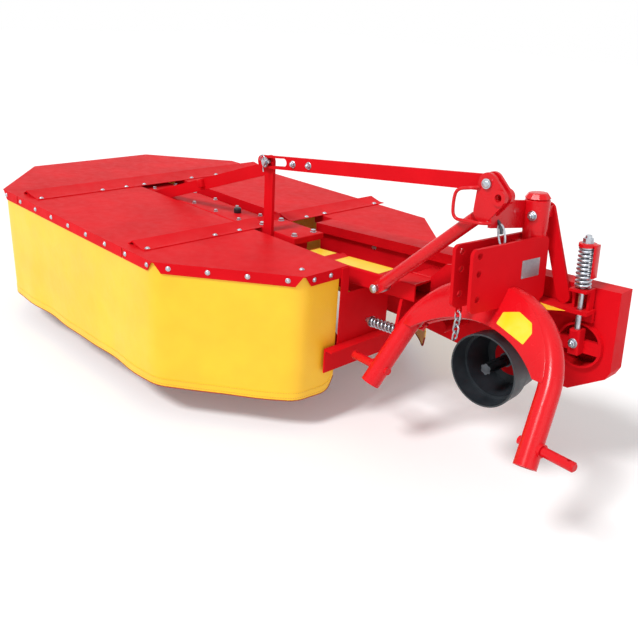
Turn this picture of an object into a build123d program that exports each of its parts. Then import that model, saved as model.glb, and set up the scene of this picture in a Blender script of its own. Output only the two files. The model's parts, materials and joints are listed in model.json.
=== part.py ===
"""Two-drum rotary mower for a tractor's three-point hitch, standing on its skid dishes.

Millimetres, +Z up. The cutting unit lies at -X and the hitch at +X, and the machine
travels towards -Y. The arm is drawn level and then raised by ARM_TILT, and the hitch
yoke is drawn square to the arm and then turned by YOKE_YAW. At the end everything is
moved so that the origin is on the ground below the middle of the whole machine.
"""
from build123d import *
import math
import os

os.makedirs("parts", exist_ok=True)

# Straight runs in one turn of a spring
COIL_RUNS = 18

# Clearances
RUNNING_GAP = 0.05
SEAT_GAP = 0.3

# Canopy sheets over the drums
CANOPY_HEIGHT = 580
CANOPY_HALF_LENGTH = 945
CANOPY_HALF_DEPTH = 605
OUTER_CHAMFER = (350, 300)
FRONT_INNER_CHAMFER = (395, 315)
REAR_INNER_CHAMFER = (245, 215)
SHEET = 3
LIP_HEIGHT = 38
NOTCH_R = 30
SEAM_GAP = 0.5
SLOT_FRONT = -90
SLOT_REAR = 140
REAR_INNER_EDGE = 268

# Cross members below the panel seams and the folded strips above them
MEMBER_WIDTH = 60
MEMBER_THICK = 12
MEMBER_MARGIN = 20
STRIP_WIDTH = 56
STRIP_RISE = 16
STRIP_FRONT_MARGIN = 40
STRIP_REAR_PROUD = 35

# Canvas skirts
SKIRT_THICK = 4
SKIRT_BOTTOM = 122
SKIRT_END_MARGIN = 38
SKIRT_REAR_RUN = 210

# Gear beam with its drums, knives and skid dishes
DRUM_SPACING = 825
OUTER_DRUM_X = -460
BEAM_Y = 20
BEAM_WIDTH = 148
BEAM_DEPTH = 105
BEAM_OUTER_END = -560
BEAM_INNER_END = 530
BEAM_WALL = 10
SPINDLE_R = 30
SPINDLE_FLANGE_R = 55
DRUM_R = 158
DRUM_WALL = 4
DRUM_GAP = 20
DRUM_COLLAR_R = 48
DRUM_COLLAR_DEPTH = 70
FLARE_TOP = 190
FLARE_OUT = 95
FLARE_BEND = 0.3
DISC_R = 330
DISC_RIM = 75
DISC_BOTTOM = 68
KNIFE_R = 422
KNIFE_WIDTH = 46
KNIFE_THICK = 5
KNIFE_COUNT = 3
KNIFE_BLUNT = 1
SKID_R = 290
SKID_FLAT_R = 175
SKID_RISE = 46
SKID_THICK = 6
SKID_PIN_R = 20
SKID_HUB_R = 44
SKID_HUB_TOP = 58

# Gearbox cover on the beam's inner end
COVER_INSET = 40
COVER_HEIGHT = 26
COVER_CHAMFER = 5

# Post, brace and lift bar
POST_X = 490
POST_WIDTH = 46
BAR_THICK = 12
POST_PIN_Z = 842
POST_PIN_R = 10
POST_PIN_PROUD = 14
POST_PIN_HEAD = 8
BRACE_FOOT_X = -360
BRACE_WIDTH = 45
LIFT_BAR_HEIGHT = 46
SLOT_RANGE = 13
SLOT_PLAY = 4
BAR_TIP_MARGIN = 14
SIDE_GAP = 2

# Arm hinge on the gear beam, and the arm's box beam
TILT_X = 600
TILT_Z = 430
TILT_PIN_R = 20
TILT_SLEEVE_R = 34
TILT_PIN_HEAD = 8
ARM_TILT = 4.026
ARM_FRONT = -30
ARM_WIDTH = 100
ARM_BOTTOM = 468
ARM_HEIGHT = 60
ARM_WALL = 6
ARM_START = 645
ARM_REACH = 245
CHEEK_THICK = 12
CHEEK_END = 790
CHEEK_RIM = 4

# Kingpin and the arm's head round it
KING_REACH = 570
KING_Y = 110
KING_R = 22
KING_HEAD_RIM = 10
KING_HEAD_THICK = 20
HEAD_THICK = 12
HEAD_REACH = 185
HEAD_BACK = 175
HEAD_FRONT = 48
HEAD_NOSE = 40
HEAD_SHOULDER = 105
HEAD_STEP = 16
HEAD_OVERLAP = 90
PAD_SETBACK = 60
PAD_HALF = 30
PAD_MARGIN = 10
RISER_SETBACK = 110
RISER_HEIGHT = 96
RISER_STEP = (60, 66)
RISER_TOE = 10
SLEEVE_R = 37
SLEEVE_BOTTOM = 746
SLEEVE_TOP = 828
CAP_THICK = 10
CAP_CHAMFER = 6
WEB_FOOT_RISE = 30
WEB_TOP_RISE = 25
BOSS_LEFT = 14
BOSS_RIGHT = 24
BOSS_FOOT_RISE = 34
BOSS_TOP_DROP = 14

# Lugs, diagonal tube and strut
LUG_SETBACK = 40
LUG_Z = 898
LUG_PIN_R = 11
LUG_PIN_RIM = 3
LUG_PIN_HEAD = 6
LUG_PIN_PROUD = 10
LUG_R = 30
LUG_THICK = 10
LUG_TAIL = 10
LUG_EYE_R = 22
LUG_HOLE_ASIDE = 42
LUG_HOLE_DROP = 34
EYE_BOSS = 7
TUBE_R = 20
TUBE_START_SHARE = 0.08
TUBE_END_SHARE = 0.02
TUBE_BORE_REACH = 50
TUBE_PIN_PROUD = 14
TUBE_PIN_RIM = 9
TUBE_FOOT_REACH = 124
TUBE_FOOT_Z = 501
HANDLE_R = 5
HANDLE_REACH = 20
HANDLE_BEND = 9
HANDLE_TOP = (25, 14)
HANDLE_TURN = (30, 16)
HANDLE_KNEE = (88, 48)
HANDLE_FOOT_DROP = 100
HANDLE_END_SETBACK = 12
HANDLE_END_RISE = 44
STRUT_WIDTH = 44
STRUT_THICK = 10
STRUT_REACH = 87
STRUT_ASIDE = 8
STRUT_DROP = 30

# Belt guard along the arm
GUARD_FRONT = 182
GUARD_DEPTH = 68
GUARD_LEFT = 530
GUARD_REACH = 254
GUARD_TOP = 591
GUARD_SHEET = 4
GUARD_LIP = 35
GUARD_LIP_DEPTH = 22
GUARD_LIP_SETBACK = 130
GUARD_EDGE_DROP = 4
GUARD_CORNER = (14, 30)
GUARD_FOOT_DROP = 95
GUARD_FOOT_RIGHT = 128
GUARD_FOOT_LEFT = 90
GUARD_WAIST = (100, 85)
GUARD_TAIL_DROP = 70

# Power take-off input
PTO_SETBACK = 8
PTO_Z = 349
SHAFT_R = 22
SPLINE_R = 17.45
SPLINE_COUNT = 6
SPLINE_DEPTH = 2.6
SPLINE_WIDTH = 8.6
SPLINE_SETBACK = 40
GROOVE_SETBACK = 60
GROOVE_PROUD = 5
SHAFT_TIP = -72
SHAFT_END_GAP = 7
CUP_MOUTH = -90
CUP_BACK = 72
CUP_MOUTH_R = 113
CUP_BACK_R = 92
CUP_STEP = -26
CUP_STEP_R = 102
CUP_WALL = 5
HOUSING_R = 56
HOUSING_FLANGE_R = 82
HOUSING_FLANGE = 12
HOUSING_INSET = 12
HOUSING_WALL = 6

# Belt tensioner and breakaway latch
TENSION_REACH = 152
TENSION_Y = 146
SPRING_R = 19
SPRING_WIRE_R = 3.6
SPRING_BASE = 592
SPRING_HEIGHT = 128
SPRING_COILS = 10
BASE_RIM = 8
BASE_SHEET = 8
ROD_R = 9
ROD_PLAY = 1
ROD_PROUD = 26
WASHER_RIM = 4
WASHER_THICK = 5
NUT_RIM = 5
NUT_TOP = 16
IDLER_R = 72
IDLER_Z = 408
IDLER_CLEARANCE = 8
COLLAR_WALL = 7
COLLAR_PROUD = 16
COLLAR_DEPTH = 30
LEVER_HEIGHT = 40
CLEVIS_HALF = 17
CLEVIS_CHAMFER = 4
GAUGE_THICK = 5
GAUGE_WIDTH = 24
GAUGE_DROP = 92
LATCH_Y = -28
LATCH_Z = 355
LATCH_REACH = 40
LATCH_SPRING_R = 15
LATCH_COILS = 8
LATCH_SPRING_LENGTH = 120
LATCH_WASHER = 6
LATCH_ROD_PROUD = 40
LATCH_PLATE_SETBACK = 385
LATCH_PLATE_LEFT = 22
LATCH_PLATE_RIGHT = 26
LATCH_PLATE_DROP = 26
LATCH_PLATE_RISE = 30
LATCH_TUBE_SETBACK = 275
LATCH_TUBE_Z = 380
LATCH_TUBE_R = 24
LATCH_LUG_HALF = 30

# Inner end plate and angle bar
END_PLATE_THICK = 5
END_PLATE_BACK = 120
END_PLATE_INSET = 3
END_PLATE_RISE = 16
END_PLATE_DROP = 178
ANGLE_HEIGHT = 90
ANGLE_FRONT = -190
ANGLE_BACK = 208
ANGLE_THICK = 6
ANGLE_LEG = 40

# Hitch yoke, square to the arm before it is turned
YOKE_YAW = -8.317
PIN_Z = 269
PIN_FORWARD = 311
PIN_HALF_SPAN = 342
PIN_R = 14
PIN_SHANK_R = 12.5
PIN_LENGTH = 105
PIN_STUB = 8
PIN_CHAMFER = 4
PIN_COLLAR = 6
PIN_COLLAR_R = 19
PIN_UNDERCUT = 2
PIN_HOLE_R = 5.5
PIN_HOLE_INSET = 18
ARCH_TUBE_R = 32
ARCH_WALL = 7
ARCH_BACK_LEAN = 32.78
LEG_LEAN = 9.75
ARCH_BEND_R = 263
ARCH_TOP = 355
LEG_BELOW_PIN = 59
GUSSET_THICK = 12
GUSSET_INNER_R = 222
GUSSET_DROP = 51
GUSSET_FOOT = 64
PLATE_GAP = 56
PLATE_THICK = 12
PLATE_FRONT = -292
PLATE_REAR = 20
PLATE_BOTTOM = 540
PLATE_TOP = 732
PLATE_NOSE_RISE = 8
PLATE_CORNER = 18
PIVOT_TUBE_R = 36
TOP_LINK_FORWARD = -265
TOP_LINK_HEIGHTS = (712, 661, 588)
TOP_LINK_R = 9.75
CHAIN_WIRE_R = 3
CHAIN_PITCH = 26
CHAIN_WIDTH = 25
CHAIN_LINKS = 4
CHAIN_PLAY = 0.6
CHAIN_FORWARD = -258
CHAIN_TAB_DROP = 7
CHAIN_TAB_R = 12
CHAIN_HOLE_R = 7
CHAIN_TAB_THICK = 3
CHAIN_END_FORWARD = -236
CHAIN_ASIDE = 55
CHAIN_DROP = 22

# Values worked out from the sizes above
INNER_DRUM_X = OUTER_DRUM_X + DRUM_SPACING
PANEL_BOTTOM = CANOPY_HEIGHT - SHEET
BEAM_TOP = PANEL_BOTTOM - MEMBER_THICK
BEAM_BOTTOM = BEAM_TOP - BEAM_DEPTH
DRUM_TOP = BEAM_BOTTOM - DRUM_GAP
END_PLATE_TOP = ARM_BOTTOM + END_PLATE_RISE
END_PLATE_BOTTOM = ARM_BOTTOM - END_PLATE_DROP
STRIP_FRONT = STRIP_FRONT_MARGIN - CANOPY_HALF_DEPTH
STRIP_REAR = CANOPY_HALF_DEPTH + STRIP_REAR_PROUD
BEAM_FRONT = BEAM_Y - BEAM_WIDTH / 2
BEAM_REAR = BEAM_Y + BEAM_WIDTH / 2
POST_BACK = BEAM_FRONT
POST_FRONT = POST_BACK - BAR_THICK
BAR_BACK = POST_FRONT - SIDE_GAP
BAR_FRONT = BAR_BACK - BAR_THICK
BAR_MIDDLE = (BAR_FRONT + BAR_BACK) / 2
SKIRT_FRONT_END = SLOT_FRONT - SKIRT_END_MARGIN
SKIRT_REAR_END = CANOPY_HALF_DEPTH - SKIRT_REAR_RUN
ARM_END = CANOPY_HALF_LENGTH + ARM_REACH
TUBE_FOOT_X = CANOPY_HALF_LENGTH + TUBE_FOOT_REACH
LATCH_LEFT = CANOPY_HALF_LENGTH + LATCH_REACH
KING_X = CANOPY_HALF_LENGTH + KING_REACH
HEAD_RIGHT = KING_X + HEAD_REACH
STRUT_FOOT_X = KING_X + STRUT_REACH
GUARD_RIGHT = KING_X + GUARD_REACH
TENSION_X = KING_X + TENSION_REACH
LUG_X = KING_X - LUG_SETBACK
PTO_X = KING_X - PTO_SETBACK
GUARD_LIP_END = KING_X - GUARD_LIP_SETBACK
LATCH_TUBE_X = KING_X - LATCH_TUBE_SETBACK
LATCH_PLATE_X = KING_X - LATCH_PLATE_SETBACK
ARM_BACK = ARM_FRONT + ARM_WIDTH
ARM_TOP = ARM_BOTTOM + ARM_HEIGHT
GUARD_BACK = GUARD_FRONT + GUARD_DEPTH
LEG_HALF_SPAN = PIN_HALF_SPAN - ARCH_TUBE_R
TILT_AXIS = Axis((TILT_X, 0, TILT_Z), (0, -1, 0))
KING_AXIS = Axis((KING_X, KING_Y, 0), (0, 0, 1))


def box(x0, x1, y0, y1, z0, z1):
    """A block between two corners."""
    return Pos((x0 + x1) / 2, (y0 + y1) / 2, (z0 + z1) / 2) * Box(x1 - x0, y1 - y0, z1 - z0)


def upright(sketch, y0, y1):
    """Extrude a sketch drawn in X and Z from y0 to y1."""
    return extrude(Plane(origin=(0, y1, 0), x_dir=(1, 0, 0), z_dir=(0, -1, 0)) * sketch, y1 - y0)


def sideways(sketch, x0, x1):
    """Extrude a sketch drawn in Y and Z from x0 to x1."""
    return extrude(Plane(origin=(x0, 0, 0), x_dir=(0, 1, 0), z_dir=(1, 0, 0)) * sketch, x1 - x0)


def lying(sketch, z0, z1):
    """Extrude a sketch drawn in X and Y from z0 to z1."""
    return extrude(Pos(0, 0, z0) * sketch, z1 - z0)


def outline(*points):
    """A face bounded by straight lines through the points."""
    return make_face(Polyline(*points, close=True))


def rod_y(x, z, radius, y0, y1):
    """A round bar along Y."""
    return upright(Pos(x, z) * Circle(radius), y0, y1)


def rod_x(y, z, radius, x0, x1):
    """A round bar along X."""
    return sideways(Pos(y, z) * Circle(radius), x0, x1)


def rod_z(x, y, radius, z0, z1):
    """A round bar along Z."""
    return lying(Pos(x, y) * Circle(radius), z0, z1)


def rod_between(start, end, radius):
    """A round bar from one point to another."""
    line = Line(start, end)
    return sweep(Plane(origin=line @ 0, z_dir=line % 0) * Circle(radius), line)


def flat_bar(start, end, width):
    """A bar with rounded ends, as a sketch, from one point to another."""
    ends = Pos(*start) * Circle(width / 2) + Pos(*end) * Circle(width / 2)
    return make_hull(ends.edges())


def coil(radius, wire, height, turns):
    """A spring wound upwards from the origin round Z, as short straight runs of six-sided wire."""
    count = turns * COIL_RUNS
    points = []
    for i in range(count + 1):
        angle = 2 * math.pi * i / COIL_RUNS
        points.append((radius * math.cos(angle), radius * math.sin(angle), height * i / count))
    path = Polyline(*points)
    section = Plane(origin=path @ 0, z_dir=path % 0) * RegularPolygon(wire, 6)
    return sweep(section, path, transition=Transition.RIGHT)


def tilted(shape):
    """Raise a shape of the arm to where the lift bar holds it."""
    return shape.rotate(TILT_AXIS, ARM_TILT)


def turned(shape):
    """Turn a shape of the yoke about the kingpin and raise it with the arm."""
    return tilted(shape.rotate(KING_AXIS, YOKE_YAW))


# Canopy
def canopy_corners():
    """Corners of the canopy's plan, where its four corners are cut off."""
    length, depth = CANOPY_HALF_LENGTH, CANOPY_HALF_DEPTH
    return [
        (-length + OUTER_CHAMFER[0], -depth), (length - FRONT_INNER_CHAMFER[0], -depth),
        (length, -depth + FRONT_INNER_CHAMFER[1]), (length, depth - REAR_INNER_CHAMFER[1]),
        (length - REAR_INNER_CHAMFER[0], depth), (-length + OUTER_CHAMFER[0], depth),
        (-length, depth - OUTER_CHAMFER[1]), (-length, -depth + OUTER_CHAMFER[1])]


def canopy_face():
    """Plan of the whole canopy."""
    return outline(*canopy_corners())


def skirt_plan(play):
    """Plan of the canvas, which hangs against the inside of the lips."""
    outside = offset(canopy_face(), -SHEET, kind=Kind.INTERSECTION)
    return outside - offset(outside, -SKIRT_THICK - play, kind=Kind.INTERSECTION)


def cross_member(x):
    """Flat cross member on the gear beam, below a panel seam."""
    reach = CANOPY_HALF_DEPTH - MEMBER_MARGIN
    half = MEMBER_WIDTH / 2
    return box(x - half, x + half, -reach, reach, BEAM_TOP, PANEL_BOTTOM)


def panel(x0, x1, y0, y1):
    """Canopy sheet over a rectangle of the plan, with its free edges turned down."""
    far = 2 * CANOPY_HALF_LENGTH
    area = Pos((x0 + x1) / 2, (y0 + y1) / 2) * Rectangle(x1 - x0, y1 - y0)
    sheet = canopy_face() & area
    inside = offset(sheet, -SHEET, kind=Kind.INTERSECTION)
    lips = lying(sheet - inside, CANOPY_HEIGHT - LIP_HEIGHT, CANOPY_HEIGHT)
    member_end = CANOPY_HALF_DEPTH - MEMBER_MARGIN + SHEET
    for x in (OUTER_DRUM_X, INNER_DRUM_X):
        half = MEMBER_WIDTH / 2 + SHEET
        lips -= box(x - half, x + half, -member_end, member_end, 0, PANEL_BOTTOM)
        seam = SHEET + SEAM_GAP
        lips -= box(x - seam, x + seam, -far, far, 0, CANOPY_HEIGHT)
    lips -= lying(skirt_plan(SEAT_GAP), 0, PANEL_BOTTOM)
    for x, y in canopy_corners():
        lips -= Pos(x, y, CANOPY_HEIGHT - LIP_HEIGHT / 2) * Cone(NOTCH_R, SHEET, LIP_HEIGHT)
    return lying(sheet, PANEL_BOTTOM, CANOPY_HEIGHT) + lips


def strip(x):
    """Folded strip along the top of a panel seam."""
    half = STRIP_WIDTH / 2
    fold = outline((x - half, CANOPY_HEIGHT), (x, CANOPY_HEIGHT + STRIP_RISE), (x + half, CANOPY_HEIGHT),
                   (x + half - 2 * SHEET, CANOPY_HEIGHT), (x, CANOPY_HEIGHT + STRIP_RISE - SHEET),
                   (x - half + 2 * SHEET, CANOPY_HEIGHT))
    return upright(fold, STRIP_FRONT, STRIP_REAR)


def skirt(keep):
    """Canvas hung inside the lips, over one part of the plan."""
    return lying(skirt_plan(0) & keep, SKIRT_BOTTOM, PANEL_BOTTOM - SEAT_GAP)


outer_seam = OUTER_DRUM_X
inner_seam = INNER_DRUM_X
left, right = -CANOPY_HALF_LENGTH, CANOPY_HALF_LENGTH
front, rear = -CANOPY_HALF_DEPTH, CANOPY_HALF_DEPTH
gap = SEAM_GAP / 2
panel_areas = {
    "canopy_front_outer": (left, outer_seam - gap, front, SLOT_FRONT - gap),
    "canopy_front_middle": (outer_seam + gap, inner_seam - gap, front, SLOT_FRONT - gap),
    "canopy_front_inner": (inner_seam + gap, right, front, SLOT_FRONT - gap),
    "canopy_centre_outer": (left, outer_seam - gap, SLOT_FRONT + gap, SLOT_REAR - gap),
    "canopy_rear_outer": (left, outer_seam - gap, SLOT_REAR + gap, rear),
    "canopy_rear_middle": (outer_seam + gap, inner_seam - gap, SLOT_REAR + gap, rear),
    "canopy_rear_inner": (inner_seam + gap, right, REAR_INNER_EDGE, rear),
}
mower = {name: panel(*area) for name, area in panel_areas.items()}
mower["cross_members"] = Compound([cross_member(x) for x in (outer_seam, inner_seam)])
mower["cross_strips"] = Compound([strip(x) for x in (outer_seam, inner_seam)])

skirt_reach = CANOPY_HALF_LENGTH + CANOPY_HALF_DEPTH
front_area = Pos(0, SKIRT_FRONT_END - skirt_reach) * Rectangle(2 * skirt_reach, 2 * skirt_reach)
rear_area = Pos(0, SKIRT_REAR_END + skirt_reach) * Rectangle(2 * skirt_reach, 2 * skirt_reach)
outer_area = Pos(-skirt_reach, 0) * Rectangle(2 * skirt_reach, 2 * CANOPY_HALF_DEPTH)
mower["skirt_front"] = skirt(front_area + outer_area - rear_area)
mower["skirt_rear"] = skirt(rear_area)

# Gear beam
beam = box(BEAM_OUTER_END, BEAM_INNER_END, BEAM_FRONT, BEAM_REAR, BEAM_BOTTOM, BEAM_TOP)
beam = fillet(beam.edges().filter_by(Axis.X), BEAM_WALL)
mower["gear_beam"] = beam - box(BEAM_OUTER_END + BEAM_WALL, BEAM_INNER_END, BEAM_FRONT + BEAM_WALL,
                                BEAM_REAR - BEAM_WALL, BEAM_BOTTOM + BEAM_WALL, BEAM_TOP - BEAM_WALL)


def spindle(x):
    """Fixed axle below the gear beam that carries a drum and, at its foot, a skid dish."""
    flange = rod_z(x, BEAM_Y, SPINDLE_FLANGE_R, DRUM_TOP + SEAT_GAP, BEAM_BOTTOM)
    axle = rod_z(x, BEAM_Y, SPINDLE_R, SKID_HUB_TOP + SEAT_GAP, BEAM_BOTTOM)
    foot = rod_z(x, BEAM_Y, SKID_PIN_R, SKID_THICK + SEAT_GAP, SKID_HUB_TOP + SEAT_GAP)
    return flange + axle + foot


def drum(x):
    """Hollow drum with the collar that it turns on."""
    top = DRUM_TOP - 2 * DRUM_WALL
    profile = outline((SPINDLE_R + RUNNING_GAP, DRUM_TOP), (DRUM_R, DRUM_TOP), (DRUM_R, FLARE_TOP),
                      (DRUM_R - DRUM_WALL, FLARE_TOP), (DRUM_R - DRUM_WALL, top), (DRUM_COLLAR_R, top),
                      (DRUM_COLLAR_R, DRUM_TOP - DRUM_COLLAR_DEPTH),
                      (SPINDLE_R + RUNNING_GAP, DRUM_TOP - DRUM_COLLAR_DEPTH))
    return Pos(x, BEAM_Y, 0) * revolve(Plane.XZ * profile, Axis.Z)


def disc(x):
    """Knife disc that flares out from the drum's foot."""
    foot_r = DRUM_R + FLARE_OUT
    wall = DRUM_WALL
    bend = (DRUM_R + FLARE_BEND * FLARE_OUT, DISC_RIM + FLARE_BEND * (FLARE_TOP - DISC_RIM))
    profile = make_face([
        ThreePointArc((DRUM_R, FLARE_TOP), bend, (foot_r, DISC_RIM)),
        Line((foot_r, DISC_RIM), (DISC_R, DISC_RIM)),
        Line((DISC_R, DISC_RIM), (DISC_R, DISC_BOTTOM)),
        Line((DISC_R, DISC_BOTTOM), (foot_r - wall, DISC_BOTTOM)),
        ThreePointArc((foot_r - wall, DISC_BOTTOM), (bend[0] - wall, bend[1] - wall),
                      (DRUM_R - wall, FLARE_TOP)),
        Line((DRUM_R - wall, FLARE_TOP), (DRUM_R, FLARE_TOP)),
    ])
    return Pos(x, BEAM_Y, 0) * revolve(Plane.XZ * profile, Axis.Z)


def knives(x):
    """Flat knives held below the rim of a disc, evenly spaced."""
    root = DRUM_R + FLARE_OUT + KNIFE_WIDTH / 2
    tip = KNIFE_R - KNIFE_WIDTH / 4
    half = KNIFE_WIDTH / 2
    shape = outline((root, -half), (tip, -half), (KNIFE_R - KNIFE_BLUNT, 0), (tip, half), (root, half))
    blade = lying(shape + Pos(root, 0) * Circle(half), DISC_BOTTOM - KNIFE_THICK, DISC_BOTTOM)
    step = 360 / KNIFE_COUNT
    return [Pos(x, BEAM_Y, 0) * Rot(0, 0, i * step) * blade for i in range(KNIFE_COUNT)]


def skid(x):
    """Shallow dish that slides on the ground, with a hub on the spindle's foot."""
    rim = SKID_RISE + SKID_THICK
    profile = outline((0, 0), (SKID_FLAT_R, 0), (SKID_R, SKID_RISE), (SKID_R, rim),
                      (SKID_FLAT_R - SKID_THICK / 2, SKID_THICK), (0, SKID_THICK))
    dish = revolve(Plane.XZ * profile, Axis.Z)
    hub = rod_z(0, 0, SKID_HUB_R, SKID_THICK, SKID_HUB_TOP)
    bore = rod_z(0, 0, SKID_PIN_R + RUNNING_GAP, SKID_THICK, SKID_HUB_TOP)
    return Pos(x, BEAM_Y, 0) * (dish + hub - bore)


rotor_outer = {"drum_outer": drum(OUTER_DRUM_X), "disc_outer": disc(OUTER_DRUM_X),
               "knives_outer": Compound(knives(OUTER_DRUM_X))}
rotor_inner = {"drum_inner": drum(INNER_DRUM_X), "disc_inner": disc(INNER_DRUM_X),
               "knives_inner": Compound(knives(INNER_DRUM_X))}
skid_outer = {"skid_outer": skid(OUTER_DRUM_X)}
skid_inner = {"skid_inner": skid(INNER_DRUM_X)}
mower["spindles"] = Compound([spindle(x) for x in (OUTER_DRUM_X, INNER_DRUM_X)])

# Hinge bracket on the beam's inner end
bracket_end = BEAM_INNER_END + HEAD_THICK
hinge_bracket = box(BEAM_INNER_END, bracket_end, BEAM_FRONT, BEAM_REAR, TILT_Z - TILT_SLEEVE_R, BEAM_TOP)
hinge_bracket += box(bracket_end, TILT_X, ARM_FRONT + CHEEK_THICK, ARM_BACK - CHEEK_THICK,
                     TILT_Z - TILT_SLEEVE_R / 2, TILT_Z + TILT_SLEEVE_R / 2)
hinge_bracket += rod_y(TILT_X, TILT_Z, TILT_SLEEVE_R, ARM_FRONT + SEAT_GAP, ARM_BACK - SEAT_GAP)
hinge_bracket -= rod_y(TILT_X, TILT_Z, TILT_PIN_R + RUNNING_GAP, ARM_FRONT, ARM_BACK)
mower["hinge_bracket"] = hinge_bracket

# Gearbox cover on top of the beam, between the inner strip and the belt guard
cover = box(INNER_DRUM_X + MEMBER_WIDTH / 2, BEAM_INNER_END, BEAM_FRONT + COVER_INSET, BEAM_REAR,
            BEAM_TOP, BEAM_TOP + COVER_HEIGHT)
mower["gearbox_cover"] = chamfer(cover.edges().group_by(Axis.Z)[-1], COVER_CHAMFER)

# Post with its pin, and the brace that holds it
post = flat_bar((POST_X, BEAM_BOTTOM + POST_WIDTH / 2), (POST_X, POST_PIN_Z), POST_WIDTH)
mower["lift_post"] = upright(post, POST_FRONT, POST_BACK)
post_pin = rod_y(POST_X, POST_PIN_Z, POST_PIN_R, BAR_FRONT - POST_PIN_PROUD, POST_FRONT)
post_pin += rod_y(POST_X, POST_PIN_Z, POST_PIN_R + POST_PIN_HEAD,
                  BAR_FRONT - POST_PIN_HEAD, BAR_FRONT - SIDE_GAP)
mower["post_pin"] = post_pin
brace = flat_bar((BRACE_FOOT_X, BEAM_TOP - BRACE_WIDTH), (POST_X, POST_PIN_Z - POST_WIDTH / 2), BRACE_WIDTH)
brace_solid = upright(brace, POST_BACK - BAR_THICK, POST_BACK)
mower["post_brace"] = brace_solid - mower["lift_post"]

# Inner end plate with its angle bar
lip_x = CANOPY_HALF_LENGTH
tab_back = SLOT_FRONT - SEAM_GAP
plate_edge = SKIRT_FRONT_END + END_PLATE_INSET
end_plate = outline((plate_edge, END_PLATE_BOTTOM), (END_PLATE_BACK, END_PLATE_BOTTOM),
                    (END_PLATE_BACK, END_PLATE_TOP), (tab_back, END_PLATE_TOP),
                    (tab_back, CANOPY_HEIGHT - SHEET), (plate_edge, CANOPY_HEIGHT - SHEET))
mower["end_plate"] = sideways(end_plate, lip_x, lip_x + END_PLATE_THICK)
angle_x = lip_x + END_PLATE_THICK
angle_top = END_PLATE_BOTTOM + ANGLE_THICK * 2
leg_end = angle_x + ANGLE_LEG
leg_under = angle_top - ANGLE_THICK
angle_foot = angle_top - ANGLE_HEIGHT
angle = outline((angle_x, angle_top), (leg_end, angle_top), (leg_end, leg_under),
                (angle_x + ANGLE_THICK, leg_under), (angle_x + ANGLE_THICK, angle_foot), (angle_x, angle_foot))
mower["angle_bar"] = upright(angle, ANGLE_FRONT, ANGLE_BACK)

# Arm: box beam with cheeks on the hinge pin
arm = {}
arm_box = box(ARM_START, ARM_END, ARM_FRONT, ARM_BACK, ARM_BOTTOM, ARM_TOP)
arm_box = fillet(arm_box.edges().filter_by(Axis.X), ARM_WALL)
arm["arm_beam"] = arm_box - box(ARM_START, ARM_END, ARM_FRONT + ARM_WALL, ARM_BACK - ARM_WALL,
                                ARM_BOTTOM + ARM_WALL, ARM_TOP - ARM_WALL)
cheek_hull = Pos(TILT_X, TILT_Z) * Circle(TILT_SLEEVE_R + CHEEK_RIM)
cheek_hull += Pos(CHEEK_END - ARM_HEIGHT / 2, (ARM_BOTTOM + ARM_TOP) / 2) * Circle(ARM_HEIGHT / 2)
cheek = make_hull(cheek_hull.edges()) - Pos(TILT_X, TILT_Z) * Circle(TILT_PIN_R + RUNNING_GAP)
arm["arm_cheeks"] = Compound([upright(cheek, ARM_FRONT - CHEEK_THICK, ARM_FRONT),
                              upright(cheek, ARM_BACK, ARM_BACK + CHEEK_THICK)])
pin_front = ARM_FRONT - CHEEK_THICK
pin_back = ARM_BACK + CHEEK_THICK
hinge_pin = (rod_y(TILT_X, TILT_Z, TILT_PIN_R, pin_front, pin_back)
             + rod_y(TILT_X, TILT_Z, TILT_PIN_R + TILT_PIN_HEAD, pin_front - TILT_PIN_HEAD, pin_front)
             + rod_y(TILT_X, TILT_Z, TILT_PIN_R + TILT_PIN_HEAD, pin_back, pin_back + TILT_PIN_HEAD))

# Arm's head: a lying plate below the kingpin, a back plate and a rising gusset
head_top = ARM_TOP
head_left = ARM_END - HEAD_OVERLAP
head_nose = KING_X + HEAD_NOSE
head_step = KING_Y + HEAD_STEP
head_plate = outline((ARM_END, HEAD_FRONT), (head_nose, HEAD_FRONT), (KING_X + HEAD_SHOULDER, head_step),
                     (HEAD_RIGHT, head_step), (HEAD_RIGHT, HEAD_BACK), (head_left, HEAD_BACK),
                     (head_left, ARM_BACK), (ARM_END, ARM_BACK))
head = lying(head_plate, head_top - HEAD_THICK, head_top)
idler_clear = IDLER_Z + IDLER_R + IDLER_CLEARANCE
back_plate = outline((head_left, ARM_BOTTOM), (head_nose, ARM_BOTTOM), (TENSION_X - IDLER_R, idler_clear),
                     (HEAD_RIGHT, idler_clear), (HEAD_RIGHT, head_top), (head_left, head_top))
head += upright(back_plate, HEAD_BACK - HEAD_THICK, HEAD_BACK)
for pad_x in (ARM_END, KING_X - PAD_SETBACK):
    head += box(pad_x - PAD_HALF, pad_x + PAD_HALF, HEAD_BACK, GUARD_FRONT,
                ARM_BOTTOM + PAD_MARGIN, head_top - PAD_MARGIN)
riser_end = KING_X - RISER_SETBACK
gusset = outline((ARM_END, ARM_BOTTOM), (riser_end, head_top - HEAD_THICK),
                 (riser_end, head_top + RISER_HEIGHT),
                 (ARM_END + RISER_STEP[0], head_top + RISER_STEP[1]), (ARM_END, head_top + RISER_TOE))
head += upright(gusset, HEAD_FRONT, HEAD_FRONT + HEAD_THICK)
head -= rod_z(KING_X, KING_Y, KING_R + RUNNING_GAP, 0, SLEEVE_TOP)
head -= rod_z(TENSION_X, TENSION_Y, ROD_R + ROD_PLAY, 0, SLEEVE_TOP)
arm["arm_head"] = head

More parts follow.
